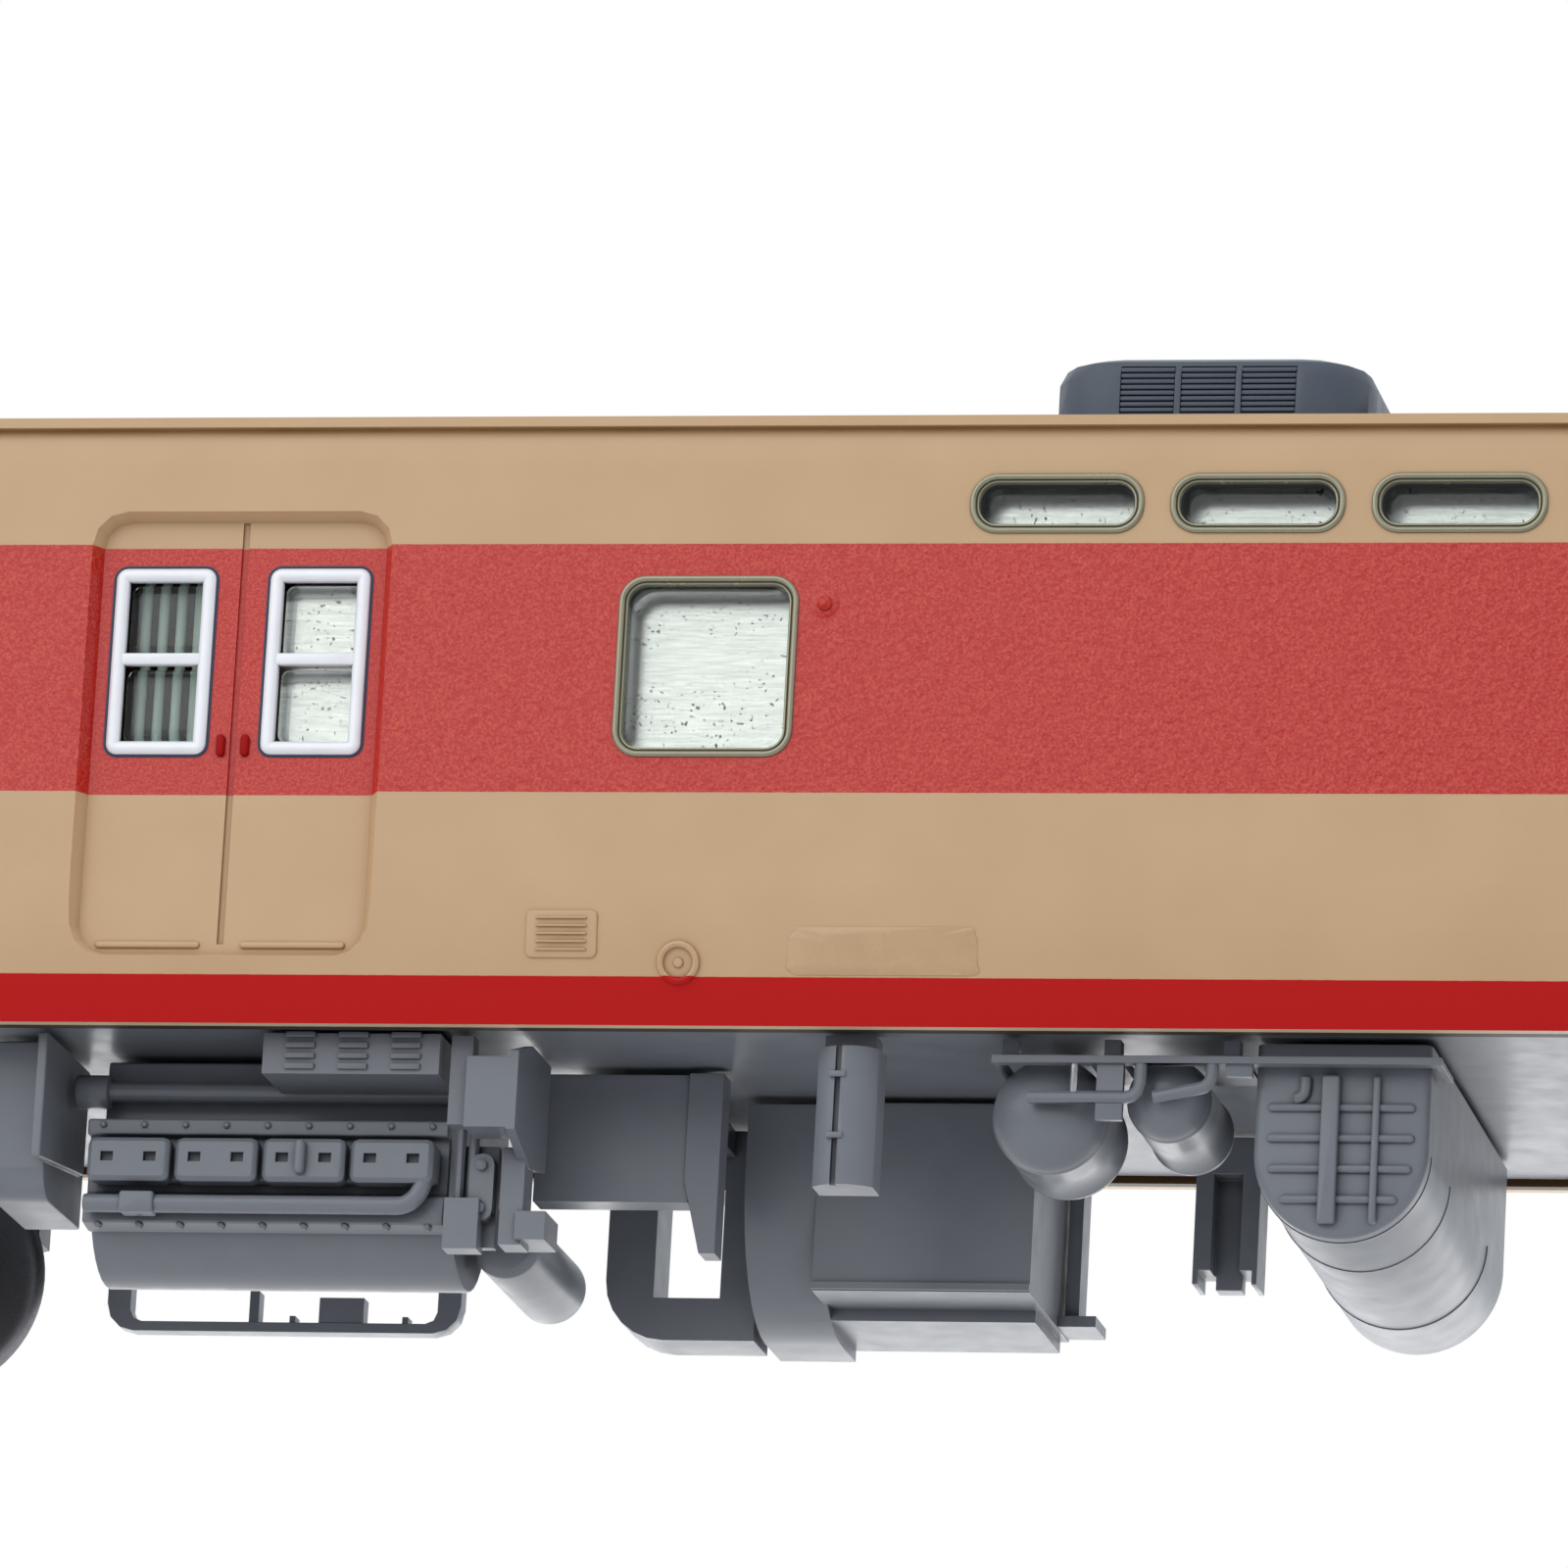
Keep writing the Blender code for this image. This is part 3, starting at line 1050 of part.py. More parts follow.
def fuel_tank():
    """A U-shaped tank across the coach, its right end stiffened with beads, a strap and a rib."""
    radius = TANK_WIDTH / 2
    low = HANG_Z - TANK_DROP
    right_face = TANK_END_INSET - FLOOR_HALF
    left_face = FLOOR_HALF - TANK_FAR_INSET

    def section(inset, y):
        curve = arc((TANK_X, low + radius), radius - inset, -180.0, 0.0, 12)
        outline = [(TANK_X - radius + inset, HANG_Z)] + curve + [(TANK_X + radius - inset, HANG_Z)]
        return [put("y", u, v, y) for u, v in outline]

    shell = loft([section(TANK_CHAMFER, right_face), section(0.0, right_face + TANK_CHAMFER),
                  section(0.0, left_face - TANK_CHAMFER), section(TANK_CHAMFER, left_face)])
    added = []
    for i in range(BEAD_COUNT):
        z = HANG_Z - BEAD_TOP_DROP - i * BEAD_PITCH
        below = max(0.0, low + radius - z)
        half = math.sqrt(radius ** 2 - below ** 2) - TANK_CHAMFER - BEAD_HEIGHT * 0.7
        bead = rounded(TANK_X - half, z - BEAD_HEIGHT / 2, TANK_X + half, z + BEAD_HEIGHT / 2,
                       BEAD_HEIGHT * 0.45, 2)
        added.append(prism(bead, "y", right_face - BEAD_STANDOUT, right_face + OVERLAP))
    strap = TANK_X - STRAP_WIDTH * 0.6
    foot = low + radius * 0.15
    head = HANG_Z - BRACKET_DROP - BRACKET_LIP - FIT
    added.append(block((strap - STRAP_WIDTH / 2, right_face - STRAP_STANDOUT, foot),
                       (strap + STRAP_WIDTH / 2, right_face + OVERLAP, head)))
    rib = TANK_X + radius * 0.4
    added.append(block((rib - RIB_WIDTH / 2, right_face - BEAD_STANDOUT * 1.6, foot + 0.2),
                       (rib + RIB_WIDTH / 2, right_face + OVERLAP, head - 0.1)))
    filler = TANK_X - radius * 0.5
    added.append(cylinder("z", (filler, right_face), RIB_WIDTH, head - 1.0, head - 0.2, 8))
    return form(shell, add=added)


def reservoir(radius, length):
    """A domed air tank lying across the coach at x = 0, its near dome towards -Y."""
    start = BRACKET_LIP + FIT - GEAR_FACE
    end = start + length + 2 * RESERVOIR_DOME
    z = HANG_Z - RESERVOIR_HANG - radius
    turns = [math.radians(a) for a in (12, 35, 60, 90)]
    near = [(start + RESERVOIR_DOME * (1 - math.cos(a)), radius * math.sin(a)) for a in turns]
    far = [(start + end - along, size) for along, size in reversed(near)]
    return turned(near + far, "y", (0.0, z), 16)


def bent_pipe(right, run, drop, slant, y):
    """A pipe that leaves the bracket downwards at x = right and bends off towards -X."""
    top = HANG_Z - BRACKET_DROP - BRACKET_LIP + OVERLAP
    low = HANG_Z - BRACKET_DROP - drop
    bend = arc((right - PIPE_BEND, low + PIPE_BEND), PIPE_BEND, -90.0, 0.0, 3)
    return swept([(right - run, low - slant), *bend, (right, top)], y, PIPE_RADIUS, 8)


def reservoir_bracket():
    """The long hanger in front of the air tanks, with a cut-out shelf, two webs and two bent pipes."""
    face = -GEAR_FACE - BRACKET_STANDOUT
    lip_back = BRACKET_LIP - GEAR_FACE
    top = HANG_Z - BRACKET_DROP
    right = TANK_X + TANK_WIDTH / 2 + FIT
    shelf_right = TANK_LEFT - FIT
    bar = block((BRACKET_LEFT, face, top - BRACKET_LIP), (right + BRACKET_LIP, lip_back, top))
    shelf = block((BRACKET_LEFT, lip_back - OVERLAP, top - BRACKET_SHELF),
                  (shelf_right, lip_back + BRACKET_DEPTH, top - HAIR))
    large_right = LARGE_RESERVOIR_X + LARGE_RESERVOIR_RADIUS
    gap_x = (large_right + SMALL_RESERVOIR_X - SMALL_RESERVOIR_RADIUS) / 2
    hangers = []
    for x in (BRACKET_LEFT + HANGER_WIDTH, gap_x, shelf_right - HANGER_WIDTH):
        hangers.append(block((x - HANGER_WIDTH / 2, lip_back - OVERLAP / 2, top - OVERLAP),
                             (x + HANGER_WIDTH / 2, lip_back + HANGER_WIDTH, HANG_Z)))
    cuts = []
    for x, radius in ((LARGE_RESERVOIR_X, LARGE_RESERVOIR_RADIUS),
                      (SMALL_RESERVOIR_X, SMALL_RESERVOIR_RADIUS)):
        z = HANG_Z - RESERVOIR_HANG - radius
        cuts.append(cylinder("y", (x, z), radius + FIT, lip_back - HAIR, 0.0, 16))
    carrier = form(bar, add=[shelf, *hangers], cut=cuts)
    hook = block((right, lip_back - OVERLAP, top - BRACKET_LIP + HAIR),
                 (right + BRACKET_LIP, lip_back + BRACKET_DEPTH * 0.8, top - HAIR))
    webs = []
    for x, drop in ((gap_x, WEB_DROP), (TANK_LEFT - WEB_WIDTH / 2, SHORT_WEB_DROP)):
        webs.append(block((x - WEB_WIDTH / 2, face + OVERLAP, top - drop),
                          (x + WEB_WIDTH / 2, lip_back - HAIR, top - HAIR)))
    pipe_y = face + PIPE_RADIUS
    pipes = [bent_pipe(LARGE_RESERVOIR_X + LARGE_PIPE_PAST, LARGE_PIPE_RUN, LARGE_PIPE_DROP, 0.0, pipe_y),
             bent_pipe(SMALL_RESERVOIR_X + SMALL_PIPE_PAST, SMALL_PIPE_RUN, SMALL_PIPE_DROP,
                       PIPE_SLANT, pipe_y)]
    return form(carrier, add=[hook, *webs, *pipes])


def relay_case():
    """A tall hanging case on the right side: bowed face with a groove, flat back, short neck."""
    face = -GEAR_FACE - CASE_STANDOUT
    back = face + CASE_DEPTH
    half = CASE_WIDTH / 2
    bow = bulge(CASE_BOW, half)
    lean = math.degrees(math.asin(half / bow))
    outline = [(CASE_X + half, back), (CASE_X - half, back)]
    outline += arc((CASE_X, face + bow), bow, 270.0 - lean, 270.0 + lean, 8)
    low = HANG_Z - CASE_DROP
    shoulder = HANG_Z - CASE_NECK
    body = prism(outline, "z", low, shoulder)
    neck = block((CASE_X - half * 0.85, back - CASE_DEPTH * 0.6, shoulder - OVERLAP),
                 (CASE_X + half * 0.85, back - 2 * HAIR, HANG_Z))
    middle = CASE_X - half * 0.25
    groove = block((middle - CASE_GROOVE_WIDTH / 2, face - PAST, low - PAST),
                   (middle + CASE_GROOVE_WIDTH / 2, face + CASE_GROOVE_DEPTH, shoulder + PAST))
    clips = []
    for z in (low + CASE_DROP * 0.3, low + CASE_DROP * 0.7):
        clips.append(block((middle - CASE_CLIP_WIDTH / 2, face - 2 * HAIR, z),
                           (middle + CASE_CLIP_WIDTH / 2, face + CASE_BOW, z + CASE_GROOVE_WIDTH)))
    return form(form(body, cut=[groove]), add=[neck, *clips])


def rear_relay_case():
    """A hanging channel behind the air tanks with a notched lower edge."""
    half = REAR_CASE_WIDTH / 2
    low = HANG_Z - REAR_CASE_DROP
    back = GEAR_FACE - REAR_CASE_SETBACK
    front = back - CASE_DEPTH
    body = block((REAR_CASE_X - half, front, low), (REAR_CASE_X + half, back, HANG_Z))
    cuts = [block((REAR_CASE_X - half * 0.45, front - PAST, low - PAST),
                  (REAR_CASE_X + half * 0.45, front + CASE_DEPTH * 0.55, low + REAR_CASE_DROP * 0.75))]
    for side in (-1, 1):
        x = REAR_CASE_X + side * half * 0.62
        cuts.append(block((x - REAR_CASE_NOTCH / 2, front - PAST, low - PAST),
                          (x + REAR_CASE_NOTCH / 2, back + PAST, low + REAR_CASE_NOTCH)))
    return form(body, cut=cuts)


def generator():
    """The generator set: a box with a tray, a round-bottomed drum beside it, a post and a foot."""
    back = GEAR_FACE - GENERATOR_SETBACK
    front = back - GENERATOR_DEPTH
    low = HANG_Z - GENERATOR_DROP
    drum_low = HANG_Z - DRUM_DROP
    rear = back - TRAY_LIP
    box = block((GENERATOR_LEFT, front, low), (GENERATOR_RIGHT, back, HANG_Z))
    lip = block((GENERATOR_LEFT, front - TRAY_LIP_STANDOUT, low + HAIR),
                (GENERATOR_RIGHT, front + OVERLAP, low + TRAY_LIP))
    tray = block((GENERATOR_LEFT + OVERLAP, back - TRAY_DEPTH, low - TRAY_HEIGHT),
                 (GENERATOR_RIGHT - TRAY_LIP, back - OVERLAP, low + OVERLAP))
    bend = arc((front + DRUM_ROUND, drum_low + DRUM_ROUND), DRUM_ROUND, 180.0, 270.0, 8)
    drum_top = HANG_Z - 2 * HAIR
    drum = prism(bend + [(rear, drum_low), (rear, drum_top), (front, drum_top)], "x",
                 GENERATOR_LEFT - DRUM_LENGTH, GENERATOR_LEFT + OVERLAP)
    foot = block((GENERATOR_RIGHT - OVERLAP, rear - POST_DEPTH - PAST, low + HAIR),
                 (GENERATOR_RIGHT + GENERATOR_FOOT, rear, low + TRAY_HEIGHT))
    post = block((GENERATOR_RIGHT + OVERLAP, rear - POST_DEPTH - OVERLAP, low + OVERLAP),
                 (GENERATOR_RIGHT + OVERLAP + POST_WIDTH, rear - OVERLAP, HANG_Z))
    return form(box, add=[lip, tray, drum, foot, post])


def radiator_shroud():
    """A panel with a round lower corner and a window; an arm carries a duct box and a hanging bar."""
    back = GEAR_FACE - SHROUD_SETBACK
    front = back - SHROUD_DEPTH
    low = HANG_Z - SHROUD_DROP
    top = HANG_Z - 2 * HAIR
    corner = arc((SHROUD_LEFT + SHROUD_ROUND, low + SHROUD_ROUND), SHROUD_ROUND, 180.0, 270.0, 6)
    outline = corner + [(SHROUD_RIGHT, low), (SHROUD_RIGHT, top), (SHROUD_LEFT, top)]
    window = block((SHROUD_LEFT + SHROUD_LENGTH * 0.32, front - PAST, low + SHROUD_DROP * 0.2),
                   (SHROUD_LEFT + SHROUD_LENGTH * 0.76, back + PAST, low + SHROUD_DROP * 0.71))
    panel = form(prism(outline, "y", front, back), cut=[window])
    duct_front = DUCT_SETBACK - GEAR_FACE
    duct_back = duct_front + DUCT_DEPTH
    bar_right = SHROUD_RIGHT + RIB_BAR_PAST
    bar_left = bar_right - RIB_BAR_WIDTH
    bar_low = HANG_Z - RIB_BAR_DROP
    duct = block((SHROUD_LEFT - DUCT_OVERHANG, duct_front, HANG_Z - DUCT_DROP),
                 (bar_left + OVERLAP, duct_back, HANG_Z - HAIR))
    arm = block((SHROUD_LEFT + OVERLAP, duct_back - OVERLAP, HANG_Z - DUCT_ARM),
                (bar_left, front + OVERLAP, HANG_Z - 3 * HAIR))
    bar = [(bar_left, HANG_Z), (bar_left, bar_low + RIB_BAR_TAPER_HEIGHT),
           (bar_left + RIB_BAR_TAPER, bar_low), (bar_right, bar_low), (bar_right, HANG_Z)]
    hanging = prism(bar, "y", duct_front - OVERLAP, duct_front + RIB_BAR_DEPTH)
    return form(panel, add=[arm, duct, hanging])


def guard_frame():
    """An open frame along the left side beside the engine, with stubs on its bottom rail."""
    back = GEAR_FACE - GUARD_SETBACK
    front = back - GUARD_THICKNESS
    left = GEARBOX_LEFT
    right = ENGINE_RIGHT - HEAD_PITCH
    low = HANG_Z - GUARD_DROP
    sheet = arc((left + GUARD_ROUND, low + GUARD_ROUND), GUARD_ROUND, 180.0, 270.0, 3)
    sheet += arc((right - GUARD_ROUND, low + GUARD_ROUND), GUARD_ROUND, 270.0, 360.0, 3)
    sheet += [(right, HANG_Z), (left, HANG_Z)]
    opening = rounded(left + GUARD_POST, low + GUARD_RAIL, right - GUARD_POST, HANG_Z - GUARD_POST,
                      GUARD_POST / 2)
    frame = form(prism(sheet, "y", front, back), cut=[prism(opening, "y", front - PAST, back + PAST)])
    stubs = []
    for start, width, height in GUARD_STUBS:
        stubs.append(block((right - start - width, front + HAIR, low + GUARD_RAIL / 2),
                           (right - start, back - HAIR, low + GUARD_RAIL + height)))
    return form(frame, add=stubs)


def engine_block():
    """The underfloor engine: an upright crankcase with two bolting ledges and a barrel sump."""
    face = -ENGINE_FACE
    far = GEAR_FACE - ENGINE_FAR_INSET
    low = HANG_Z - ENGINE_DROP
    wall = face + ENGINE_STEP
    proud = face - LEDGE_STANDOUT
    ledge = HANG_Z - HEAD_TOP_DROP + ENGINE_STEP
    lower = HANG_Z - HEAD_TOP_DROP - HEAD_HEIGHT - ENGINE_STEP
    foot = lower - LOWER_LEDGE_HEIGHT
    barrel_y = face + SUMP_RADIUS + SUMP_SETBACK
    outline = [(face + CRANKCASE_SETBACK, HANG_Z),
               (face + CRANKCASE_SETBACK, ledge + LEDGE_HEIGHT + OVERLAP),
               (proud, ledge + LEDGE_HEIGHT), (proud, ledge), (wall, ledge), (wall, lower + OVERLAP),
               (proud, lower), (proud, foot), (face + SUMP_SETBACK, foot - OVERLAP)]
    outline += arc((barrel_y, low + SUMP_RADIUS), SUMP_RADIUS, 200.0, 335.0, 12)
    outline += [(far, low + SUMP_RADIUS), (far, HANG_Z)]
    return prism(outline, "x", ENGINE_LEFT, ENGINE_RIGHT)


def cylinder_heads():
    """A row of square head covers on one rail, each with two ports."""
    back = ENGINE_STEP - ENGINE_FACE - FIT
    rail_face = back - HEAD_RAIL
    face = rail_face - HEAD_STANDOUT
    top = HANG_Z - HEAD_TOP_DROP
    low = top - HEAD_HEIGHT
    middle = (ENGINE_LEFT + ENGINE_RIGHT) / 2
    half_row = (HEAD_COUNT - 1) / 2 * HEAD_PITCH + HEAD_WIDTH / 2
    rail = block((middle - half_row, rail_face, low + OVERLAP), (middle + half_row, back, top - OVERLAP))
    covers = []
    ports = []
    for i in range(HEAD_COUNT):
        x = middle + (i - (HEAD_COUNT - 1) / 2) * HEAD_PITCH
        cover = (x - HEAD_WIDTH / 2, low, x + HEAD_WIDTH / 2, top, HEAD_CORNER)
        outline = rounded(*cover)
        inner = rounded(*shrunk(cover, HEAD_BEVEL))
        depths = ((outline, rail_face + OVERLAP), (outline, face + HEAD_BEVEL), (inner, face))
        covers.append(loft([[put("y", u, v, y) for u, v in loop] for loop, y in depths]))
        for side in (-1, 1):
            port = x + side * HEAD_WIDTH * 0.26
            z = top - HEAD_PORT_DROP
            ports.append(block((port - HEAD_PORT / 2, face - PAST, z),
                               (port + HEAD_PORT / 2, face + HEAD_PORT_DEPTH, z + HEAD_PORT * 0.75)))
    return form(rail, add=covers, cut=ports)


def exhaust_pipe():
    """A straight pipe with a collar along the upper front of the engine."""
    z = HANG_Z - EXHAUST_DROP
    y = CRANKCASE_SETBACK - ENGINE_FACE - FIT - EXHAUST_COLLAR_RADIUS
    start = GEARBOX_RIGHT + FIT
    end = ENGINE_RIGHT - FIT
    profile = [(start, EXHAUST_COLLAR_RADIUS), (start + EXHAUST_COLLAR_LENGTH, EXHAUST_COLLAR_RADIUS),
               (start + EXHAUST_COLLAR_LENGTH, EXHAUST_RADIUS), (end, EXHAUST_RADIUS)]
    return turned(profile, "x", (y, z), 12)


def louvred_box():
    """A shallow box over the engine with rows of louvre bars on its face."""
    right = ENGINE_RIGHT
    left = right - LOUVRE_BOX_LENGTH
    face = -GEAR_FACE
    low = HANG_Z - LOUVRE_BOX_DROP
    exhaust_y = CRANKCASE_SETBACK - ENGINE_FACE - FIT - EXHAUST_COLLAR_RADIUS
    back = min(face + LOUVRE_BOX_DEPTH, exhaust_y - EXHAUST_RADIUS - FIT)
    box = block((left, face, low), (right, back, HANG_Z))
    bars = []
    for column in range(LOUVRE_COLUMNS):
        x = left + LOUVRE_FIRST_X + column * LOUVRE_PITCH_X
        for row in range(LOUVRE_ROWS):
            z = low + LOUVRE_FIRST_Z + row * LOUVRE_PITCH_Z
            bars.append(block((x - LOUVRE_WIDTH / 2, face - LOUVRE_STANDOUT, z - LOUVRE_BAR / 2),
                              (x + LOUVRE_WIDTH / 2, face + OVERLAP, z + LOUVRE_BAR / 2)))
    return form(box, add=bars)


def injection_pump():
    """The pump at the front end of the engine: a plate with a bolted link, a valve and two rods."""
    left = ENGINE_RIGHT + FIT
    right = left + PUMP_WIDTH
    back = PUMP_SETBACK - ENGINE_FACE
    face = back - PUMP_DEPTH * 0.5
    low = HANG_Z - PUMP_DROP
    plate = block((left, face, low + FIT), (right, back, HANG_Z - HEAD_TOP_DROP))
    valve = block((left - FIT / 3, face - VALVE_STANDOUT, low),
                  (left + VALVE_WIDTH - FIT / 3, face + OVERLAP, low + VALVE_HEIGHT))
    link_left = right - LINK_WIDTH - HAIR
    link_low = low + LINK_RISE
    outline = rounded(link_left, link_low, right - HAIR, link_low + LINK_HEIGHT, LINK_WIDTH * 0.45, 3)
    added = [valve, prism(outline, "y", face - LINK_STANDOUT, face + OVERLAP)]
    for i in (0, 1):
        x = left + ROD_RADIUS + 2 * HAIR + i * ROD_PITCH
        added.append(cylinder("z", (x, face - ROD_RADIUS), ROD_RADIUS, low + VALVE_HEIGHT - OVERLAP,
                              HANG_Z - ROD_TOP_DROP, 8))
    for z in (link_low + LINK_WIDTH / 2, link_low + LINK_HEIGHT - LINK_WIDTH / 2):
        added.append(cylinder("y", (link_left + LINK_WIDTH / 2, z), ROD_RADIUS,
                              face - LINK_STANDOUT - ROD_RADIUS, face, 8))
    return form(plate, add=added)


def step_bracket():
    """The engine hanger beside the pump: a boxed post, a deep side plate, a column and a pad."""
    left = ENGINE_RIGHT + FIT + OVERLAP
    face = -GEAR_FACE - STEP_STANDOUT
    box_left = left + STEP_POST_OVERHANG
    plate = box_left + STEP_BOX_WIDTH
    box_top = HANG_Z - STEP_BOX_DROP
    box_low = box_top - STEP_BOX_HEIGHT
    low = HANG_Z - STEP_DROP
    column_y = face + STEP_COLUMN_SETBACK
    plate_back = face + STEP_DEPTH
    post_y = face + STEP_BOX_DEPTH / 3
    post = block((left, post_y, box_low + FIT), (left + STEP_POST_WIDTH, post_y + STEP_POST_WIDTH, HANG_Z))
    box = block((box_left, face, box_low), (plate + 2 * HAIR, face + STEP_BOX_DEPTH, box_top))
    side = [(face, box_top + FIT), (face, box_low - 2 * HAIR),
            (column_y + STEP_PAD / 2, box_low - STEP_BOX_DROP),
            (plate_back, box_low - STEP_BOX_DROP / 2), (plate_back, HANG_Z), (column_y, HANG_Z)]
    side_plate = prism(side, "x", plate, plate + STEP_PLATE)
    column_right = plate + STEP_PLATE - HAIR
    column = block((column_right - STEP_COLUMN_WIDTH, column_y, low),
                   (column_right, column_y + STEP_COLUMN_DEPTH, box_low - FIT))
    pad = block((plate + 2 * HAIR, column_y - FIT, low + OVERLAP),
                (plate + STEP_PAD, column_y + STEP_COLUMN_DEPTH + STEP_PAD / 2, low + STEP_PAD))
    return form(post, add=[box, side_plate, column, pad])


def silencer():
    """A round silencer lying across the coach beside the engine."""
    x = ENGINE_RIGHT + FIT + SILENCER_RADIUS
    start = SILENCER_SETBACK - ENGINE_FACE
    end = start + SILENCER_LENGTH
    narrow = SILENCER_RADIUS - SILENCER_EDGE
    profile = [(start, narrow), (start + SILENCER_EDGE, SILENCER_RADIUS),
               (end - SILENCER_EDGE, SILENCER_RADIUS), (end, narrow)]
    return turned(profile, "y", (x, HANG_Z - SILENCER_DROP), 16)


def gearbox():
    """The final transmission behind the engine, with a tapered hanging plate in front of it."""
    low = HANG_Z - GEARBOX_DROP
    front = GEARBOX_SETBACK - GEAR_FACE
    back = front + GEARBOX_DEPTH
    plate = GEARBOX_RIGHT - GEARBOX_PLATE
    outline = [(front, HANG_Z)]
    outline += arc((front + GEARBOX_CORNER, low + GEARBOX_CORNER), GEARBOX_CORNER, 180.0, 270.0, 4)
    outline += [(back, low), (back, HANG_Z)]
    case = prism(outline, "x", GEARBOX_LEFT, plate + OVERLAP)
    plate_back = back - GEARBOX_PLATE_TAPER
    plate_low = HANG_Z - GEARBOX_PLATE_DROP
    hanger = [(-GEAR_FACE, HANG_Z), (-GEAR_FACE, plate_low),
              (plate_back, plate_low + GEARBOX_PLATE_TAPER), (plate_back, HANG_Z)]
    return form(case, add=[prism(hanger, "x", plate, GEARBOX_RIGHT)])


def battery_box():
    """A battery box on the right side with two recessed doors."""
    face = -GEAR_FACE
    low = HANG_Z - BATTERY_DROP
    box = block((BATTERY_LEFT, face, low),
                (BATTERY_LEFT + BATTERY_LENGTH, face + BATTERY_DEPTH, HANG_Z))
    half = BATTERY_LENGTH / 2
    doors = []
    for i in (0, 1):
        left = BATTERY_LEFT + i * half
        door = rounded(left + BATTERY_DOOR_MARGIN, low + BATTERY_DOOR_MARGIN,
                       left + half - BATTERY_DOOR_MARGIN, HANG_Z - BATTERY_DOOR_MARGIN,
                       BATTERY_DOOR_MARGIN / 2)
        doors.append(prism(door, "y", face - PAST, face + BATTERY_DOOR_DEPTH))
    return form(box, cut=doors)


def radiator():
    """The cooling radiator on the right side, slotted between upright fins."""
    face = -GEAR_FACE
    low = HANG_Z - RADIATOR_DROP
    right = RADIATOR_LEFT + RADIATOR_LENGTH
    box = block((RADIATOR_LEFT, face, low), (right, face + RADIATOR_DEPTH, HANG_Z))
    pitch = (RADIATOR_LENGTH - 2 * RADIATOR_FRAME) / RADIATOR_FINS
    slots = []
    for i in range(RADIATOR_FINS):
        x = RADIATOR_LEFT + RADIATOR_FRAME + (i + 0.5) * pitch
        slots.append(block((x - FIN_WIDTH / 2, face - PAST, low + RADIATOR_FRAME),
                           (x + FIN_WIDTH / 2, face + FIN_DEPTH, HANG_Z - RADIATOR_FRAME)))
    return form(box, cut=slots)


def control_cabinet():
    """The control cabinet on the right side, with chamfered lower edge and a sunk lid."""
    face = -GEAR_FACE
    back = face + CABINET_DEPTH
    low = HANG_Z - CABINET_DROP
    outline = [(face, HANG_Z), (face, low + CABINET_CHAMFER), (face + CABINET_CHAMFER, low),
               (back, low), (back, HANG_Z)]
    lid = rounded(CABINET_LEFT + CABINET_LID_MARGIN, low + 2 * CABINET_LID_MARGIN,
                  CABINET_RIGHT - CABINET_LID_MARGIN, HANG_Z - CABINET_LID_MARGIN,
                  CABINET_LID_MARGIN / 2)
    return form(prism(outline, "x", CABINET_LEFT, CABINET_RIGHT),
                cut=[prism(lid, "y", face - PAST, face + CABINET_LID_DEPTH)])


def brake_cylinder():
    """A domed brake air cylinder along the left side."""
    y = GEAR_FACE - CYLINDER_RADIUS - CYLINDER_INSET
    turns = [math.radians(a) for a in (20, 50, 90)]
    near = [(RADIATOR_LEFT + CYLINDER_DOME * (1 - math.cos(a)), CYLINDER_RADIUS * math.sin(a))
            for a in turns]
    far = [(2 * RADIATOR_LEFT + CYLINDER_LENGTH - along, size) for along, size in reversed(near)]
    return turned(near + far, "x", (y, HANG_Z - CYLINDER_RADIUS), 14)


# Assembly

def build_body(finish):
    """Shell, glazing, lights, floor, ballast and roof."""
    piece("body_shell", body_shell(), finish["cream_paint"])
    piece("floor_frame", floor_frame(), finish["underfloor_grey"])
    piece("roof", roof_shell(), finish["roof_grey"])
    shared = {"glazing": (side_glazing(), "clear_plastic"),
              "ballast_plate": (ballast_plate(), "plated_steel")}
    for name, (mesh, slot) in shared.items():
        piece(name + "_right", mesh, finish[slot])
        piece(name + "_left", mesh, finish[slot], turn=180.0)
    ends = {"windscreen": (end_glazing(), "clear_plastic"), "light_guide": (light_guide(), "lens_plastic"),
            "gangway_bellows": (gangway_bellows(), "bellows_grey"),
            "coupler_pocket": (coupler_pocket(), "bogie_grey")}
    for name, (mesh, slot) in ends.items():
        piece(name + "_front", mesh, finish[slot])
        piece(name + "_rear", mesh, finish[slot], turn=180.0)
    unit = cooling_unit()
    for name, side in (("front", 1), ("rear", -1)):
        piece("cooling_unit_" + name, unit, finish["unit_grey"], (side * AC_X, 0.0, 0.0))


def build_underfloor(finish):
    """Everything that hangs under the floor."""
    grey = finish["underfloor_grey"]
    makers = (fuel_tank, reservoir_bracket, relay_case, rear_relay_case, generator, radiator_shroud,
              guard_frame, engine_block, cylinder_heads, exhaust_pipe, louvred_box, injection_pump,
              step_bracket, silencer, gearbox, battery_box, radiator, control_cabinet, brake_cylinder)
    for maker in makers:
        piece(maker.__name__, maker(), grey)
    large = reservoir(LARGE_RESERVOIR_RADIUS, LARGE_RESERVOIR_LENGTH)
    small = reservoir(SMALL_RESERVOIR_RADIUS, SMALL_RESERVOIR_LENGTH)
    piece("air_reservoir_large", large, grey, (LARGE_RESERVOIR_X, 0.0, 0.0))
    piece("air_reservoir_small", small, grey, (SMALL_RESERVOIR_X, 0.0, 0.0))


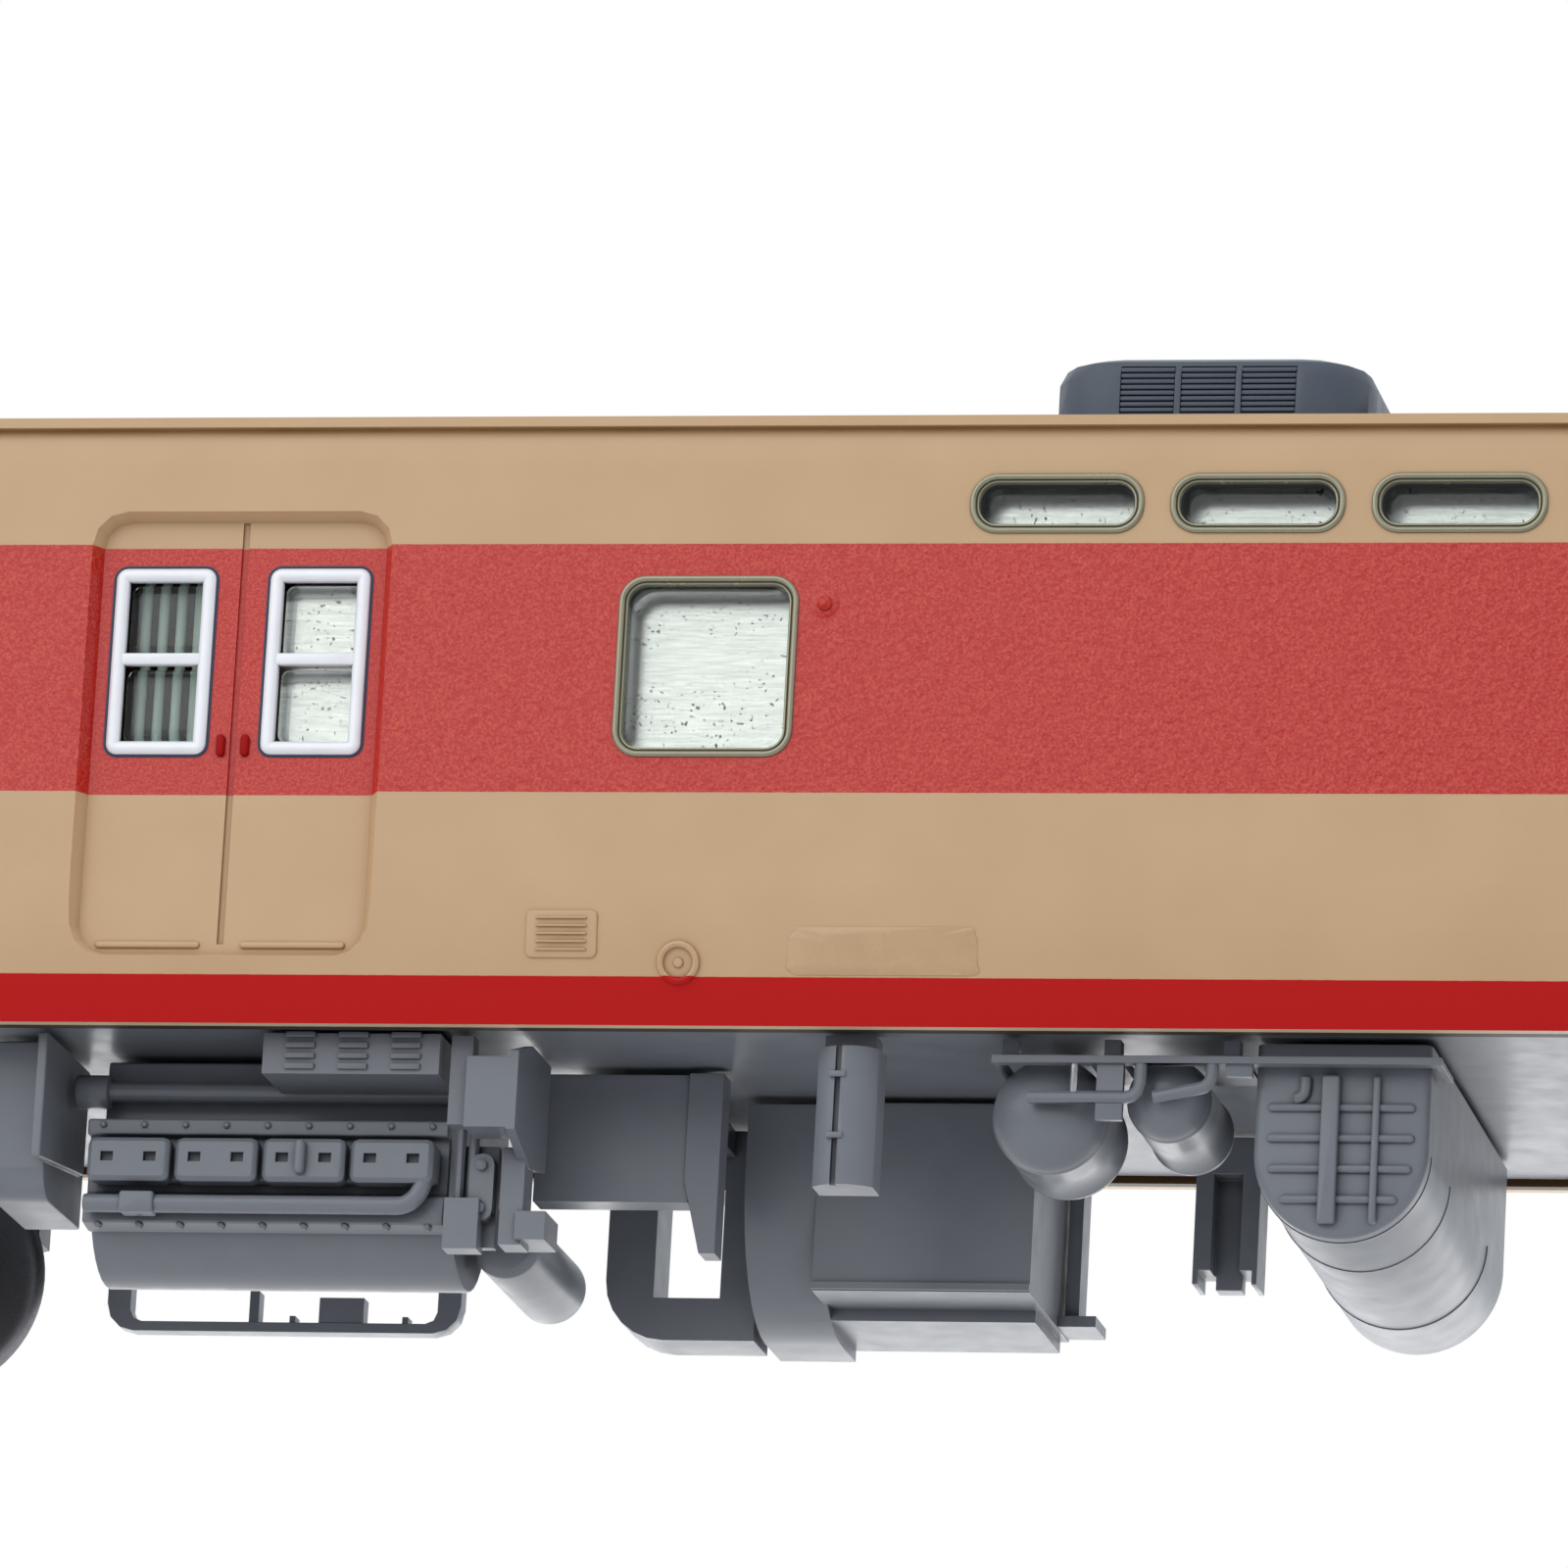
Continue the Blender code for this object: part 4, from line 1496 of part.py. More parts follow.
def build_running_gear(finish):
    """Both bogies with their wheelsets and kingpins, and both couplers, each about its joint."""
    frame_mesh, beam, pin = side_frame(), bolster(), kingpin()
    wheel_mesh, axle_mesh, hook = wheel(), axle(), coupler()
    for name, side, turn in (("front", 1, 0.0), ("rear", -1, 180.0)):
        centre = pivot("bogie_pivot_" + name, (side * BOGIE_X, 0.0, 0.0))
        piece("kingpin_" + name, pin, finish["axle_steel"], (side * BOGIE_X, 0.0, 0.0))
        piece("bolster_" + name, beam, finish["bogie_grey"], parent=centre)
        piece("side_frame_right_" + name, frame_mesh, finish["bogie_grey"], parent=centre)
        piece("side_frame_left_" + name, frame_mesh, finish["bogie_grey"], turn=180.0, parent=centre)
        for place, x in (("outer", side * WHEELBASE / 2), ("inner", -side * WHEELBASE / 2)):
            label = place + "_" + name
            spindle = pivot("wheelset_axis_" + label, (x, 0.0, AXLE_Z), centre)
            piece("axle_" + label, axle_mesh, finish["axle_steel"], parent=spindle)
            back = BACK_TO_BACK / 2
            steel = finish["wheel_metal"]
            piece("wheel_right_" + label, wheel_mesh, steel, (0.0, -back, 0.0), 0.0, spindle)
            piece("wheel_left_" + label, wheel_mesh, steel, (0.0, back, 0.0), 180.0, spindle)
        hinge = pivot("coupler_pivot_" + name, (side * COUPLER_PIVOT_X, 0.0, 0.0))
        piece("coupler_" + name, hook, finish["coupler_black"], turn=turn, parent=hinge)


def main():
    """Clears the scene and builds the coach."""
    for thing in list(bpy.data.objects):
        bpy.data.objects.remove(thing)
    finish = make_finishes()
    build_body(finish)
    build_underfloor(finish)
    build_running_gear(finish)


main()
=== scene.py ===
"""Looks of the model baggage coach: trim, glazing, finishes, light and camera over the CAD frame."""

import json
import logging
import math
from dataclasses import dataclass, field, replace
from enum import Enum
from typing import Iterator, Optional, Sequence

import bpy
import numpy as np
from mathutils import Matrix, Vector

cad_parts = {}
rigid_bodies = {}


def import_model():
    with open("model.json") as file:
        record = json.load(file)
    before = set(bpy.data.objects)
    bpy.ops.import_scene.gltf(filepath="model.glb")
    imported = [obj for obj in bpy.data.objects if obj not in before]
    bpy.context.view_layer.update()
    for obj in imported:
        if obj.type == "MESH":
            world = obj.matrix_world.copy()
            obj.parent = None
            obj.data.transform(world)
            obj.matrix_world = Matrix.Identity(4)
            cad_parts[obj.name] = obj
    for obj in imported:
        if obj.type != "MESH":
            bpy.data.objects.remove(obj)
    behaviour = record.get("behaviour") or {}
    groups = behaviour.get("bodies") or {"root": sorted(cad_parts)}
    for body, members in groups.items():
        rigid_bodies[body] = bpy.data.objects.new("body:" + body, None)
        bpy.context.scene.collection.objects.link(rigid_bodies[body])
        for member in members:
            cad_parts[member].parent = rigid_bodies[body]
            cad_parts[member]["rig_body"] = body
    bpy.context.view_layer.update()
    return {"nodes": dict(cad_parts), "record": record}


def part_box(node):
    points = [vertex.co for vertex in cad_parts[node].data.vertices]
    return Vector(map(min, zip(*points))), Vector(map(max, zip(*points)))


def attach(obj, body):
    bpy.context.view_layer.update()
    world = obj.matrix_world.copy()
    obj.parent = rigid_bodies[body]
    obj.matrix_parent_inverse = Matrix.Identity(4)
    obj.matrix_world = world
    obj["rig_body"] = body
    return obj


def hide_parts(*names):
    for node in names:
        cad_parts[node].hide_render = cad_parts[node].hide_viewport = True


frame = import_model()

MM = 0.001
QUARTER = math.pi / 2
TURN = 2.0 * math.pi
SHARP_EDGE = math.radians(38.0)
LEAST_MM = 0.001
SOFT_STEPS = 4
CORNER_SAMPLES = 16

Pair = tuple[float, float]
Triple = tuple[float, float, float]
Size = Triple
Points = tuple[Pair, ...]
Thing = bpy.types.Object
Socket = bpy.types.NodeSocket

log = logging.getLogger("coach")


class Face(Enum):
    """A side or an end of the coach, as a sign."""

    @property
    def tag(self) -> str:
        """The word for it in a piece's name."""
        return self.name.lower()


class Side(Face):
    """The two long sides, by the sign of Y."""

    RIGHT = -1.0
    LEFT = 1.0


class End(Face):
    """The two ends, by the sign of X."""

    FRONT = 1.0
    REAR = -1.0


class Axis(Enum):
    """The axes, by their place in a point."""

    X = 0
    Y = 1
    Z = 2


# Shapes

def arc(middle: Pair, radii: Pair, start: float, end: float, steps: int = 7) -> np.ndarray:
    """Points of an ellipse: the middle plus each radius times the cosine and the sine of the angle.

    Args:
        middle: Middle of the ellipse in mm.
        radii: Its two radii in mm.
        start: First angle in radians.
        end: Last angle in radians.
        steps: Number of points.

    Returns:
        The points as a (steps, 2) array.
    """
    angle = np.linspace(start, end, steps)
    return np.column_stack([middle[0] + radii[0] * np.cos(angle), middle[1] + radii[1] * np.sin(angle)])


def rounded_outline(width: float, height: float, radius: float, steps: int = 8) -> np.ndarray:
    """A rectangle about the origin whose corners are quarter circles, one radius in from both sides.

    Args:
        width: Full width in mm.
        height: Full height in mm.
        radius: Corner radius in mm.
        steps: Pieces in each corner's quarter circle.

    Returns:
        Points as an (n, 2) array, counter-clockwise.
    """
    radius = max(min(radius, width / 2 - LEAST_MM, height / 2 - LEAST_MM), LEAST_MM)
    quarter = np.linspace(0.0, QUARTER, steps + 1)
    angles = (np.arange(4)[:, None] * QUARTER + quarter[None, :] - QUARTER).ravel()
    signs = np.array([[1, -1], [1, 1], [-1, 1], [-1, -1]], float)
    centres = np.repeat(signs * [width / 2 - radius, height / 2 - radius], steps + 1, axis=0)
    return centres + radius * np.stack([np.cos(angles), np.sin(angles)], axis=1)


def grid_faces(rows: int, columns: int, wrap_rows: bool, wrap_columns: bool, caps: bool) -> list[list[int]]:
    """The faces of a grid of points: one four-sided face between neighbours.

    Args:
        rows: Number of rows.
        columns: Number of columns.
        wrap_rows: Join the last row to the first.
        wrap_columns: Join the last column to the first.
        caps: Close the first and last rows with flat faces.

    Returns:
        Lists of point numbers, counted row by row.
    """
    index = np.arange(rows * columns).reshape(rows, columns)
    low = index if wrap_rows else index[:-1]
    high = np.roll(index, -1, axis=0) if wrap_rows else index[1:]
    if wrap_columns:
        quads = np.stack([low, np.roll(low, -1, 1), np.roll(high, -1, 1), high], axis=-1)
    else:
        quads = np.stack([low[:, :-1], low[:, 1:], high[:, 1:], high[:, :-1]], axis=-1)
    faces = quads.reshape(-1, 4).tolist()
    if caps:
        faces.append(index[0, ::-1].tolist())
        faces.append(index[-1].tolist())
    return faces


def grid_object(name: str, points: list[np.ndarray] | np.ndarray, wrap_rows: bool = False,
                wrap_columns: bool = True, caps: bool = False) -> Thing:
    """One object with a smooth surface through a grid of points, or through each of several grids.

    Args:
        name: Object name.
        points: (rows, columns, 3) array in mm, or a list of them.
        wrap_rows: Join the last row to the first.
        wrap_columns: Join the last column to the first.
        caps: Close the first and last rows with flat faces.

    Returns:
        The linked object, at the origin.
    """
    places: list[list[float]] = []
    faces: list[list[int]] = []
    for grid in points if isinstance(points, list) else [points]:
        first = len(places)
        made = grid_faces(*grid.shape[:2], wrap_rows, wrap_columns, caps)
        faces += [[first + corner for corner in face] for face in made]
        places += (grid.reshape(-1, 3) * MM).tolist()
    mesh = bpy.data.meshes.new(name)
    mesh.from_pydata(places, [], faces)
    mesh.validate()
    mesh.update()
    mesh.shade_smooth()
    mesh.set_sharp_from_angle(angle=SHARP_EDGE)
    thing = bpy.data.objects.new(name, mesh)
    bpy.context.scene.collection.objects.link(thing)
    return thing


def face_out(thing: Thing) -> None:
    """Turns a closed surface's faces outwards when its signed volume is negative.

    Args:
        thing: The piece.
    """
    mesh = thing.data
    mesh.calc_loop_triangles()
    corners = np.empty(len(mesh.loop_triangles) * 3, np.int32)
    mesh.loop_triangles.foreach_get("vertices", corners)
    places = np.empty(len(mesh.vertices) * 3)
    mesh.vertices.foreach_get("co", places)
    tri = places.reshape(-1, 3)[corners.reshape(-1, 3)]
    volume = np.einsum("ij,ij->", tri[:, 0], np.cross(tri[:, 1], tri[:, 2]))
    if volume < 0.0:
        mesh.flip_normals()


def solid(name: str, points: list[np.ndarray] | np.ndarray, ring: bool = False) -> Thing:
    """A closed surface that faces outwards.

    Args:
        name: Object name.
        points: (rows, columns, 3) array in mm, or a list of them.
        ring: True where the rows join up, False where the first and last are closed by flat faces.

    Returns:
        The linked object.
    """
    made = grid_object(name, points, wrap_rows=ring, caps=not ring)
    face_out(made)
    return made


def stacked(outlines: Sequence[np.ndarray], heights: Sequence[float]) -> np.ndarray:
    """Outlines (n, 2) at their heights as a (rows, n, 3) grid of (u, v, height)."""
    return np.stack([np.column_stack([o, np.full(len(o), h)]) for o, h in zip(outlines, heights)])


@dataclass(frozen=True)
class Plane:
    """A wall along the coach to put trim on: u runs along it, v is up and h stands out of it.

    Below foot_top the wall may curve inwards along a circle of foot_radius.  Lengths in mm.
    """

    sign: float
    level: float
    foot_top: float = -1000.0
    foot_radius: float = 1.0

    def inset(self, up: np.ndarray) -> np.ndarray:
        """How far the wall has curved inwards at a height: the circle's radius less its half chord."""
        below = np.clip(self.foot_top - up, 0.0, self.foot_radius)
        return self.foot_radius - np.sqrt(self.foot_radius ** 2 - below ** 2)

    def place(self, grid: np.ndarray, u: float, v: float) -> np.ndarray:
        """Moves a grid to a place on the wall: h is added to the wall's own distance from the middle.

        Args:
            grid: (rows, columns, 3) array of (u, v, h) in mm.
            u: Place along the wall.
            v: Place up the wall.

        Returns:
            The grid as x, y and z in mm.
        """
        along, up = grid[..., 0] + u, grid[..., 1] + v
        out = self.sign * (self.level - self.inset(up) + grid[..., 2])
        return np.stack([along, out, up], axis=-1)


@dataclass(frozen=True)
class Block:
    """A raised block with soft upper edges.  Lengths in mm.

    Attributes:
        size: Width, height and corner radius.
        foot: Height of its foot, below zero when it is sunk in the wall.
        top: Height of its face.
        edge: Radius of the soft edge.
        steps: Pieces in each corner.
    """

    size: Size
    foot: float
    top: float
    edge: float = 0.08
    steps: int = 4


def rim(name: str, plane: Plane, centre: Pair, size: Size, profile: np.ndarray, steps: int = 8) -> Thing:
    """A moulded ring: the opening's outline, widened by each point of a section and set at its height.

    Args:
        name: Object name.
        plane: The wall it sits on.
        centre: (u, v) of the opening's middle in mm.
        size: Width, height and corner radius of the opening in mm.
        profile: (m, 2) closed section of (distance outside the opening, height) in mm.
        steps: Pieces in each corner.

    Returns:
        The ring.
    """
    width, height, radius = size
    outlines = [rounded_outline(width + 2 * d, height + 2 * d, radius + d, steps) for d in profile[:, 0]]
    return solid(name, plane.place(stacked(outlines, profile[:, 1]), *centre), ring=True)


def pad(name: str, plane: Plane, centre: Pair, block: Block) -> Thing:
    """A raised block: outlines that rise and shrink along a quarter circle.

    Args:
        name: Object name.
        plane: The wall it sits on.
        centre: (u, v) of its middle in mm.
        block: Its sizes.

    Returns:
        The block.
    """
    turn = np.linspace(0.0, QUARTER, SOFT_STEPS)
    insets = np.concatenate([[0.0], block.edge * (1.0 - np.cos(turn))])
    heights = np.concatenate([[block.foot], block.top - block.edge + block.edge * np.sin(turn)])
    width, height, radius = block.size
    outlines = [rounded_outline(width - 2 * i, height - 2 * i, radius - i / 2, block.steps) for i in insets]
    return solid(name, plane.place(stacked(outlines, heights), *centre))


def lathe(name: str, profile: np.ndarray, centre: Sequence[float], axis: Axis, sides: int,
          ring: bool = False, sign: float = 1.0) -> Thing:
    """A profile of (along, radius) turned about an axis: radius times cosine and sine across it.

    Args:
        name: Object name.
        profile: (m, 2) points in mm.
        centre: Point on the axis in mm; along counts from here.
        axis: The axis it turns about.
        sides: Pieces in a full turn.
        ring: True for a ring whose profile joins up.
        sign: -1 turns the profile to run down the axis.

    Returns:
        The turned piece.
    """
    angle = np.linspace(0.0, TURN, sides, endpoint=False)
    along = np.repeat(sign * profile[:, :1], sides, axis=1)
    first = profile[:, 1:] * np.cos(angle)[None, :]
    second = profile[:, 1:] * np.sin(angle)[None, :]
    places = [first, second]
    places.insert(axis.value, along)
    return solid(name, np.stack(places, axis=-1) + np.asarray(centre), ring)


def tube_grid(path: np.ndarray, radius: float, sides: int = 14) -> np.ndarray:
    """The grid of a round pipe: a circle across the path's direction at each of its points.

    Args:
        path: (n, 3) points in mm.
        radius: Pipe radius in mm.
        sides: Pieces round the pipe.

    Returns:
        (n, sides, 3) points in mm.
    """
    tangent = np.gradient(path, axis=0)
    tangent /= np.linalg.norm(tangent, axis=1, keepdims=True)
    off_path = np.array([0.31, 0.77, 0.56])
    side = np.cross(tangent, off_path)
    side /= np.linalg.norm(side, axis=1, keepdims=True)
    up = np.cross(tangent, side)
    angle = np.linspace(0.0, TURN, sides, endpoint=False)[None, :, None]
    return path[:, None, :] + radius * (side[:, None, :] * np.cos(angle) + up[:, None, :] * np.sin(angle))


def node_box(name: str) -> tuple[np.ndarray, np.ndarray]:
    """Lowest and highest corner of a CAD node in mm."""
    low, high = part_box(name)
    return np.array(low) / MM, np.array(high) / MM


def bent(points: np.ndarray, radius: float, steps: int = 6) -> np.ndarray:
    """A path through corner points with each inner corner swept by a quadratic curve.

    Args:
        points: (n, 3) corners in mm.
        radius: How far from each corner the curve starts.
        steps: Points on each curve.

    Returns:
        The smoothed path, without doubled points.
    """
    parts = [points[:1]]
    share = np.linspace(0.0, 1.0, steps)[:, None]
    for before, corner, after in zip(points[:-2], points[1:-1], points[2:]):
        start = corner + (before - corner) / np.linalg.norm(before - corner) * radius
        end = corner + (after - corner) / np.linalg.norm(after - corner) * radius
        parts.append((1 - share) ** 2 * start + 2 * share * (1 - share) * corner + share ** 2 * end)
    parts.append(points[-1:])
    path = np.concatenate(parts)
    apart = np.linalg.norm(np.diff(path, axis=0), axis=1) > LEAST_MM
    return path[np.concatenate([[True], apart])]


# Finishes

def linear(colour: str) -> tuple[float, float, float, float]:
    """An sRGB hex colour as linear RGBA."""
    channels = [int(colour[i:i + 2], 16) / 255.0 for i in (1, 3, 5)]
    return (*[c / 12.92 if c <= 0.04045 else ((c + 0.055) / 1.055) ** 2.4 for c in channels], 1.0)


class Graph:
    """The node tree of a material or of the world, with one way to add nodes."""

    def __init__(self, owner: bpy.types.Material | bpy.types.World) -> None:
        """Turns the owner's nodes on and finds its shader.

        Args:
            owner: The material or the world.
        """
        owner.use_nodes = True
        self.owner = owner
        self.tree = owner.node_tree
        self.shader = next(n for n in self.tree.nodes if "Output" not in n.name)
        self.surface = next(n for n in self.tree.nodes if "Output" in n.name).inputs["Surface"]

    @classmethod
    def material(cls, name: str) -> "Graph":
        """The graph of a new material."""
        return cls(bpy.data.materials.new(name))

    def add(self, kind: str, settings: Optional[dict] = None, **links: object) -> bpy.types.Node:
        """Adds a node.

        Args:
            kind: Node type without the ShaderNode prefix.
            settings: Node properties to set.
            links: Input name or i0, i1... to a value or to another node's output socket.

        Returns:
            The node.
        """
        node = self.tree.nodes.new("ShaderNode" + kind)
        for key, value in (settings or {}).items():
            setattr(node, key, value)
        for key, value in links.items():
            spot = node.inputs[int(key[1:])] if key[0] == "i" and key[1:].isdigit() else node.inputs[key]
            self.feed(spot, value)
        return node

    def feed(self, spot: Socket, value: object) -> None:
        """Links a socket, or sets its constant.

        Args:
            spot: The socket.
            value: Another node's output, or a constant.
        """
        if isinstance(value, Socket):
            self.tree.links.new(value, spot)
        else:
            spot.default_value = value

    def set(self, **values: object) -> None:
        """Sets or links the shader's inputs; underscores stand for spaces."""
        for key, value in values.items():
            self.feed(self.shader.inputs[key.replace("_", " ")], value)

    def coords(self) -> Socket:
        """Object coordinates in metres."""
        return self.add("TexCoord").outputs["Object"]

    def path(self, kind: str) -> Socket:
        """1 for one kind of light ray, else 0."""
        return self.add("LightPath").outputs[kind]

    def mix(self, factor: object, first: object, second: object) -> Socket:
        """A colour between two."""
        return self.add("Mix", {"data_type": "RGBA"}, i0=factor, i6=first, i7=second).outputs[2]

    def blend(self, factor: object, second: bpy.types.Node) -> None:
        """Feeds the surface with the shader, or with a second one where the factor is 1."""
        both = self.add("MixShader", None, i0=factor, i1=self.shader.outputs[0], i2=second.outputs[0])
        self.feed(self.surface, both.outputs[0])

    def math(self, operation: str, first: object, second: object = 0.0, clamp: bool = True) -> Socket:
        """One arithmetic step, held to 0..1 unless clamp is off."""
        return self.add("Math", {"operation": operation, "use_clamp": clamp}, i0=first, i1=second).outputs[0]

    def ramp(self, value: object, low: float, high: float) -> Socket:
        """0 at low, 1 at high and straight between."""
        return self.add("MapRange", None, i0=value, i1=low, i2=high).outputs[0]

    def beyond(self, value: object, line_mm: float, fade_mm: float) -> Socket:
        """1 beyond a line and 0 before it; a fade below zero turns it round."""
        return self.ramp(value, (line_mm - fade_mm) * MM, (line_mm + fade_mm) * MM)

    def between(self, value: object, low: float, high: float) -> Socket:
        """Low where the value is 0, high where it is 1."""
        return self.add("MapRange", None, i0=value, i3=low, i4=high).outputs[0]

    def noise(self, size_mm: float, detail: float = 2.0, stretch: Triple = (1.0, 1.0, 1.0)) -> Socket:
        """Noise whose features are about size_mm across.

        Args:
            size_mm: Size of one feature.
            detail: Levels of finer noise.
            stretch: Share of each coordinate; a small share makes long features.

        Returns:
            The noise, 0 to 1.
        """
        place = self.add("Mapping", None, Vector=self.coords(), Scale=stretch)
        node = self.add("TexNoise", None, Vector=place.outputs[0], Scale=1.0 / (size_mm * MM), Detail=detail)
        return node.outputs["Fac"]

    def open_face(self, reach_mm: float, span: Pair) -> Socket:
        """1 on an open face and 0 in an inner corner, from how closed in the surface is."""
        corner = self.add("AmbientOcclusion", {"samples": CORNER_SAMPLES}, Distance=reach_mm * MM)
        return self.ramp(corner.outputs["AO"], *span)

    def bump(self, height: object, depth_mm: float, strength: object = 1.0) -> Socket:
        """A normal from a height of depth_mm."""
        node = self.add("Bump", None, Height=height, Distance=depth_mm * MM, Strength=strength)
        return node.outputs["Normal"]


@dataclass(frozen=True)
class Plastic:
    """A moulded or painted finish with a fine grain."""

    name: str
    colour: str
    roughness: float
    grain_mm: float = 0.25
    depth_mm: float = 0.004
    metallic: float = 0.0
    # Colour of the painted shade in inner corners, by ambient occlusion; empty for none.
    worn: str = ""
    shine: float = 0.5
    mottle_mm: float = 1.6
    mottle_span: Pair = (0.3, 0.7)
    mottle_shade: float = 0.93
    roughness_spread: float = 0.05
    corner_mm: float = 0.9
    corner_span: Pair = (0.35, 0.85)
    index: float = 1.45

    def make(self) -> bpy.types.Material:
        """The material: a base colour with soft mottling, grain bump and painted shade in inner corners.

        Returns:
            The material.
        """
        g = Graph.material(self.name)
        base = linear(self.colour)
        mottle = g.ramp(g.noise(self.mottle_mm, detail=4.0), *self.mottle_span)
        shade = tuple(c * self.mottle_shade for c in base[:3]) + (1.0,)
        colour = g.mix(mottle, shade, base)
        # Painted shade: inner corners turn to the darker colour.
        if self.worn:
            colour = g.mix(g.open_face(self.corner_mm, self.corner_span), linear(self.worn), colour)
        g.set(Base_Color=colour, Metallic=self.metallic, IOR=self.index, Specular_IOR_Level=self.shine)
        low, high = self.roughness - self.roughness_spread, self.roughness + self.roughness_spread
        g.set(Roughness=g.between(mottle, low, high))
        g.set(Normal=g.bump(g.noise(self.grain_mm, detail=3.0), self.depth_mm))
        return g.owner


@dataclass(frozen=True)
class BandedPaint:
    """The body's two-colour paint: bands by height, orange peel, edges where the bands meet, painted shade
    in corners and on inner walls, painted glints on the red.

    Heights and widths are in mm; a pair gives where a mask starts and where it is full, or a value
    off and on the red.
    """

    cream: str = "#CAA880"
    cream_shade: str = "#BF9B73"
    # Painted shade of the cream in inner corners.
    cream_corner: str = "#A07A4C"
    band: str = "#B8120A"
    # Painted glints: colour of the lighter flecks on the red.
    fleck: str = "#D44F38"
    stripe: str = "#BE100E"
    # Painted shade of the red in inner corners.
    deep: str = "#B00C08"
    # Painted shade: colour of the inner walls, which are cream plastic in shadow.
    inside: str = "#6E4E34"
    under_edge: str = "#D6BE9E"
    under_dark: str = "#3A332D"
    underside: float = 13.6
    underside_fade: float = 0.3
    stripe_top: float = 15.6
    band_low: float = 24.57
    band_high: float = 36.96
    edge_inner: float = 16.45
    inner_wall: float = 17.3
    wall_fade: float = 0.1
    line_fade: float = 0.02
    wobble: float = 0.03
    wobble_mm: float = 0.5
    corner_mm: float = 1.0
    corner_span: Pair = (0.5, 0.92)
    fleck_mm: float = 0.13
    fleck_span: Pair = (0.4, 0.8)
    cloud_mm: float = 6.0
    cloud_span: Pair = (0.35, 0.65)
    cloud_share: float = 0.35
    inward_span: Pair = (-0.003, -0.006)
    downward_span: Pair = (-0.6, -0.9)
    peel_mm: float = 0.3
    peel_depth: float = 0.03
    peel: Pair = (0.3, 1.0)
    roughness: Pair = (0.46, 0.28)
    shine: Pair = (0.5, 0.2)
    index: float = 1.48

    def make(self) -> bpy.types.Material:
        """The material, with heights read from object coordinates in metres.

        Returns:
            The material.
        """
        g = Graph.material("banded_paint")
        place = g.add("SeparateXYZ", None, i0=g.coords())
        y = g.math("ABSOLUTE", place.outputs[1], clamp=False)
        waver = g.math("MULTIPLY", g.noise(self.wobble_mm), self.wobble * MM, clamp=False)
        z = g.math("ADD", waver, place.outputs[2], clamp=False)
        facing = g.add("SeparateXYZ", None, i0=g.add("NewGeometry").outputs["Normal"])
        band = g.math("MULTIPLY", g.beyond(z, self.band_low, self.line_fade),
                      g.beyond(z, self.band_high, -self.line_fade))
        stripe = g.beyond(z, self.stripe_top, -self.line_fade)
        # Painted shade: red and cream turn darker in inner corners, by ambient occlusion.
        open_face = g.open_face(self.corner_mm, self.corner_span)
        # Painted glints: lighter orange-red flecks at random on the red.
        fleck = g.ramp(g.noise(self.fleck_mm), *self.fleck_span)
        red = g.mix(fleck, linear(self.band), linear(self.fleck))
        red = g.mix(open_face, linear(self.deep), red)
        cream = g.mix(open_face, linear(self.cream_corner), linear(self.cream))
        cloud = g.ramp(g.noise(self.cloud_mm, detail=3.0), *self.cloud_span)
        cream = g.mix(g.math("MULTIPLY", cloud, self.cloud_share), cream, linear(self.cream_shade))
        colour = g.mix(stripe, g.mix(band, cream, red), linear(self.stripe))
        # Painted shade: faces of the inner walls that look inwards turn dark brown.
        outward = g.math("MULTIPLY", facing.outputs[1], place.outputs[1], clamp=False)
        inner = g.math("MULTIPLY", g.ramp(outward, *self.inward_span),
                       g.beyond(y, self.inner_wall, -self.wall_fade))
        colour = g.mix(inner, colour, linear(self.inside))
        edge = g.ramp(y, (self.edge_inner - self.wall_fade) * MM, self.edge_inner * MM)
        low = g.ramp(z, (self.underside + self.underside_fade) * MM, self.underside * MM)
        below = g.math("MULTIPLY", g.ramp(facing.outputs[2], *self.downward_span), low)
        colour = g.mix(below, colour, g.mix(edge, linear(self.under_dark), linear(self.under_edge)))
        peel = g.bump(g.noise(self.peel_mm), self.peel_depth, g.between(band, *self.peel))
        g.set(Base_Color=colour, Normal=peel, IOR=self.index)
        g.set(Roughness=g.between(band, *self.roughness))
        g.set(Specular_IOR_Level=g.between(stripe, *self.shine))
        return g.owner


@dataclass(frozen=True)
class BrushedMetal:
    """A bright metal with long fine scratches and dark specks."""

    name: str
    colour: str
    roughness: float
    along: Triple = (0.08, 1.0, 1.0)
    specks: float = 0.0
    wave_mm: float = 0.0
    scratch_mm: float = 0.003
    scratch: str = "#D0CFC9"
    speck: str = "#17160F"
    brush_mm: float = 0.1
    brush_span: Pair = (0.3, 0.7)
    dot_mm: float = 0.2
    dot_span: Pair = (0.66, 0.7)
    patch_mm: float = 3.0
    patch_span: Pair = (0.4, 0.56)
    wave_length_mm: float = 1.4

    def make(self) -> bpy.types.Material:
        """The material: scratches from stretched noise, specks in patches, and a wavy or scratched face.

        Returns:
            The material.
        """
        g = Graph.material(self.name)
        brush = g.noise(self.brush_mm, detail=3.0, stretch=self.along)
        colour = g.mix(g.ramp(brush, *self.brush_span), linear(self.scratch), linear(self.colour))
        if self.specks:
            dots = g.ramp(g.noise(self.dot_mm, detail=1.0), *self.dot_span)
            patch = g.ramp(g.noise(self.patch_mm), *self.patch_span)
            share = g.math("MULTIPLY", g.math("MULTIPLY", dots, patch), self.specks)
            colour = g.mix(share, colour, linear(self.speck))
        g.set(Base_Color=colour, Metallic=1.0, Roughness=self.roughness)
        wave = g.noise(self.wave_length_mm, detail=1.0, stretch=self.along) if self.wave_mm else brush
        g.set(Normal=g.bump(wave, self.wave_mm or self.scratch_mm))
        return g.owner


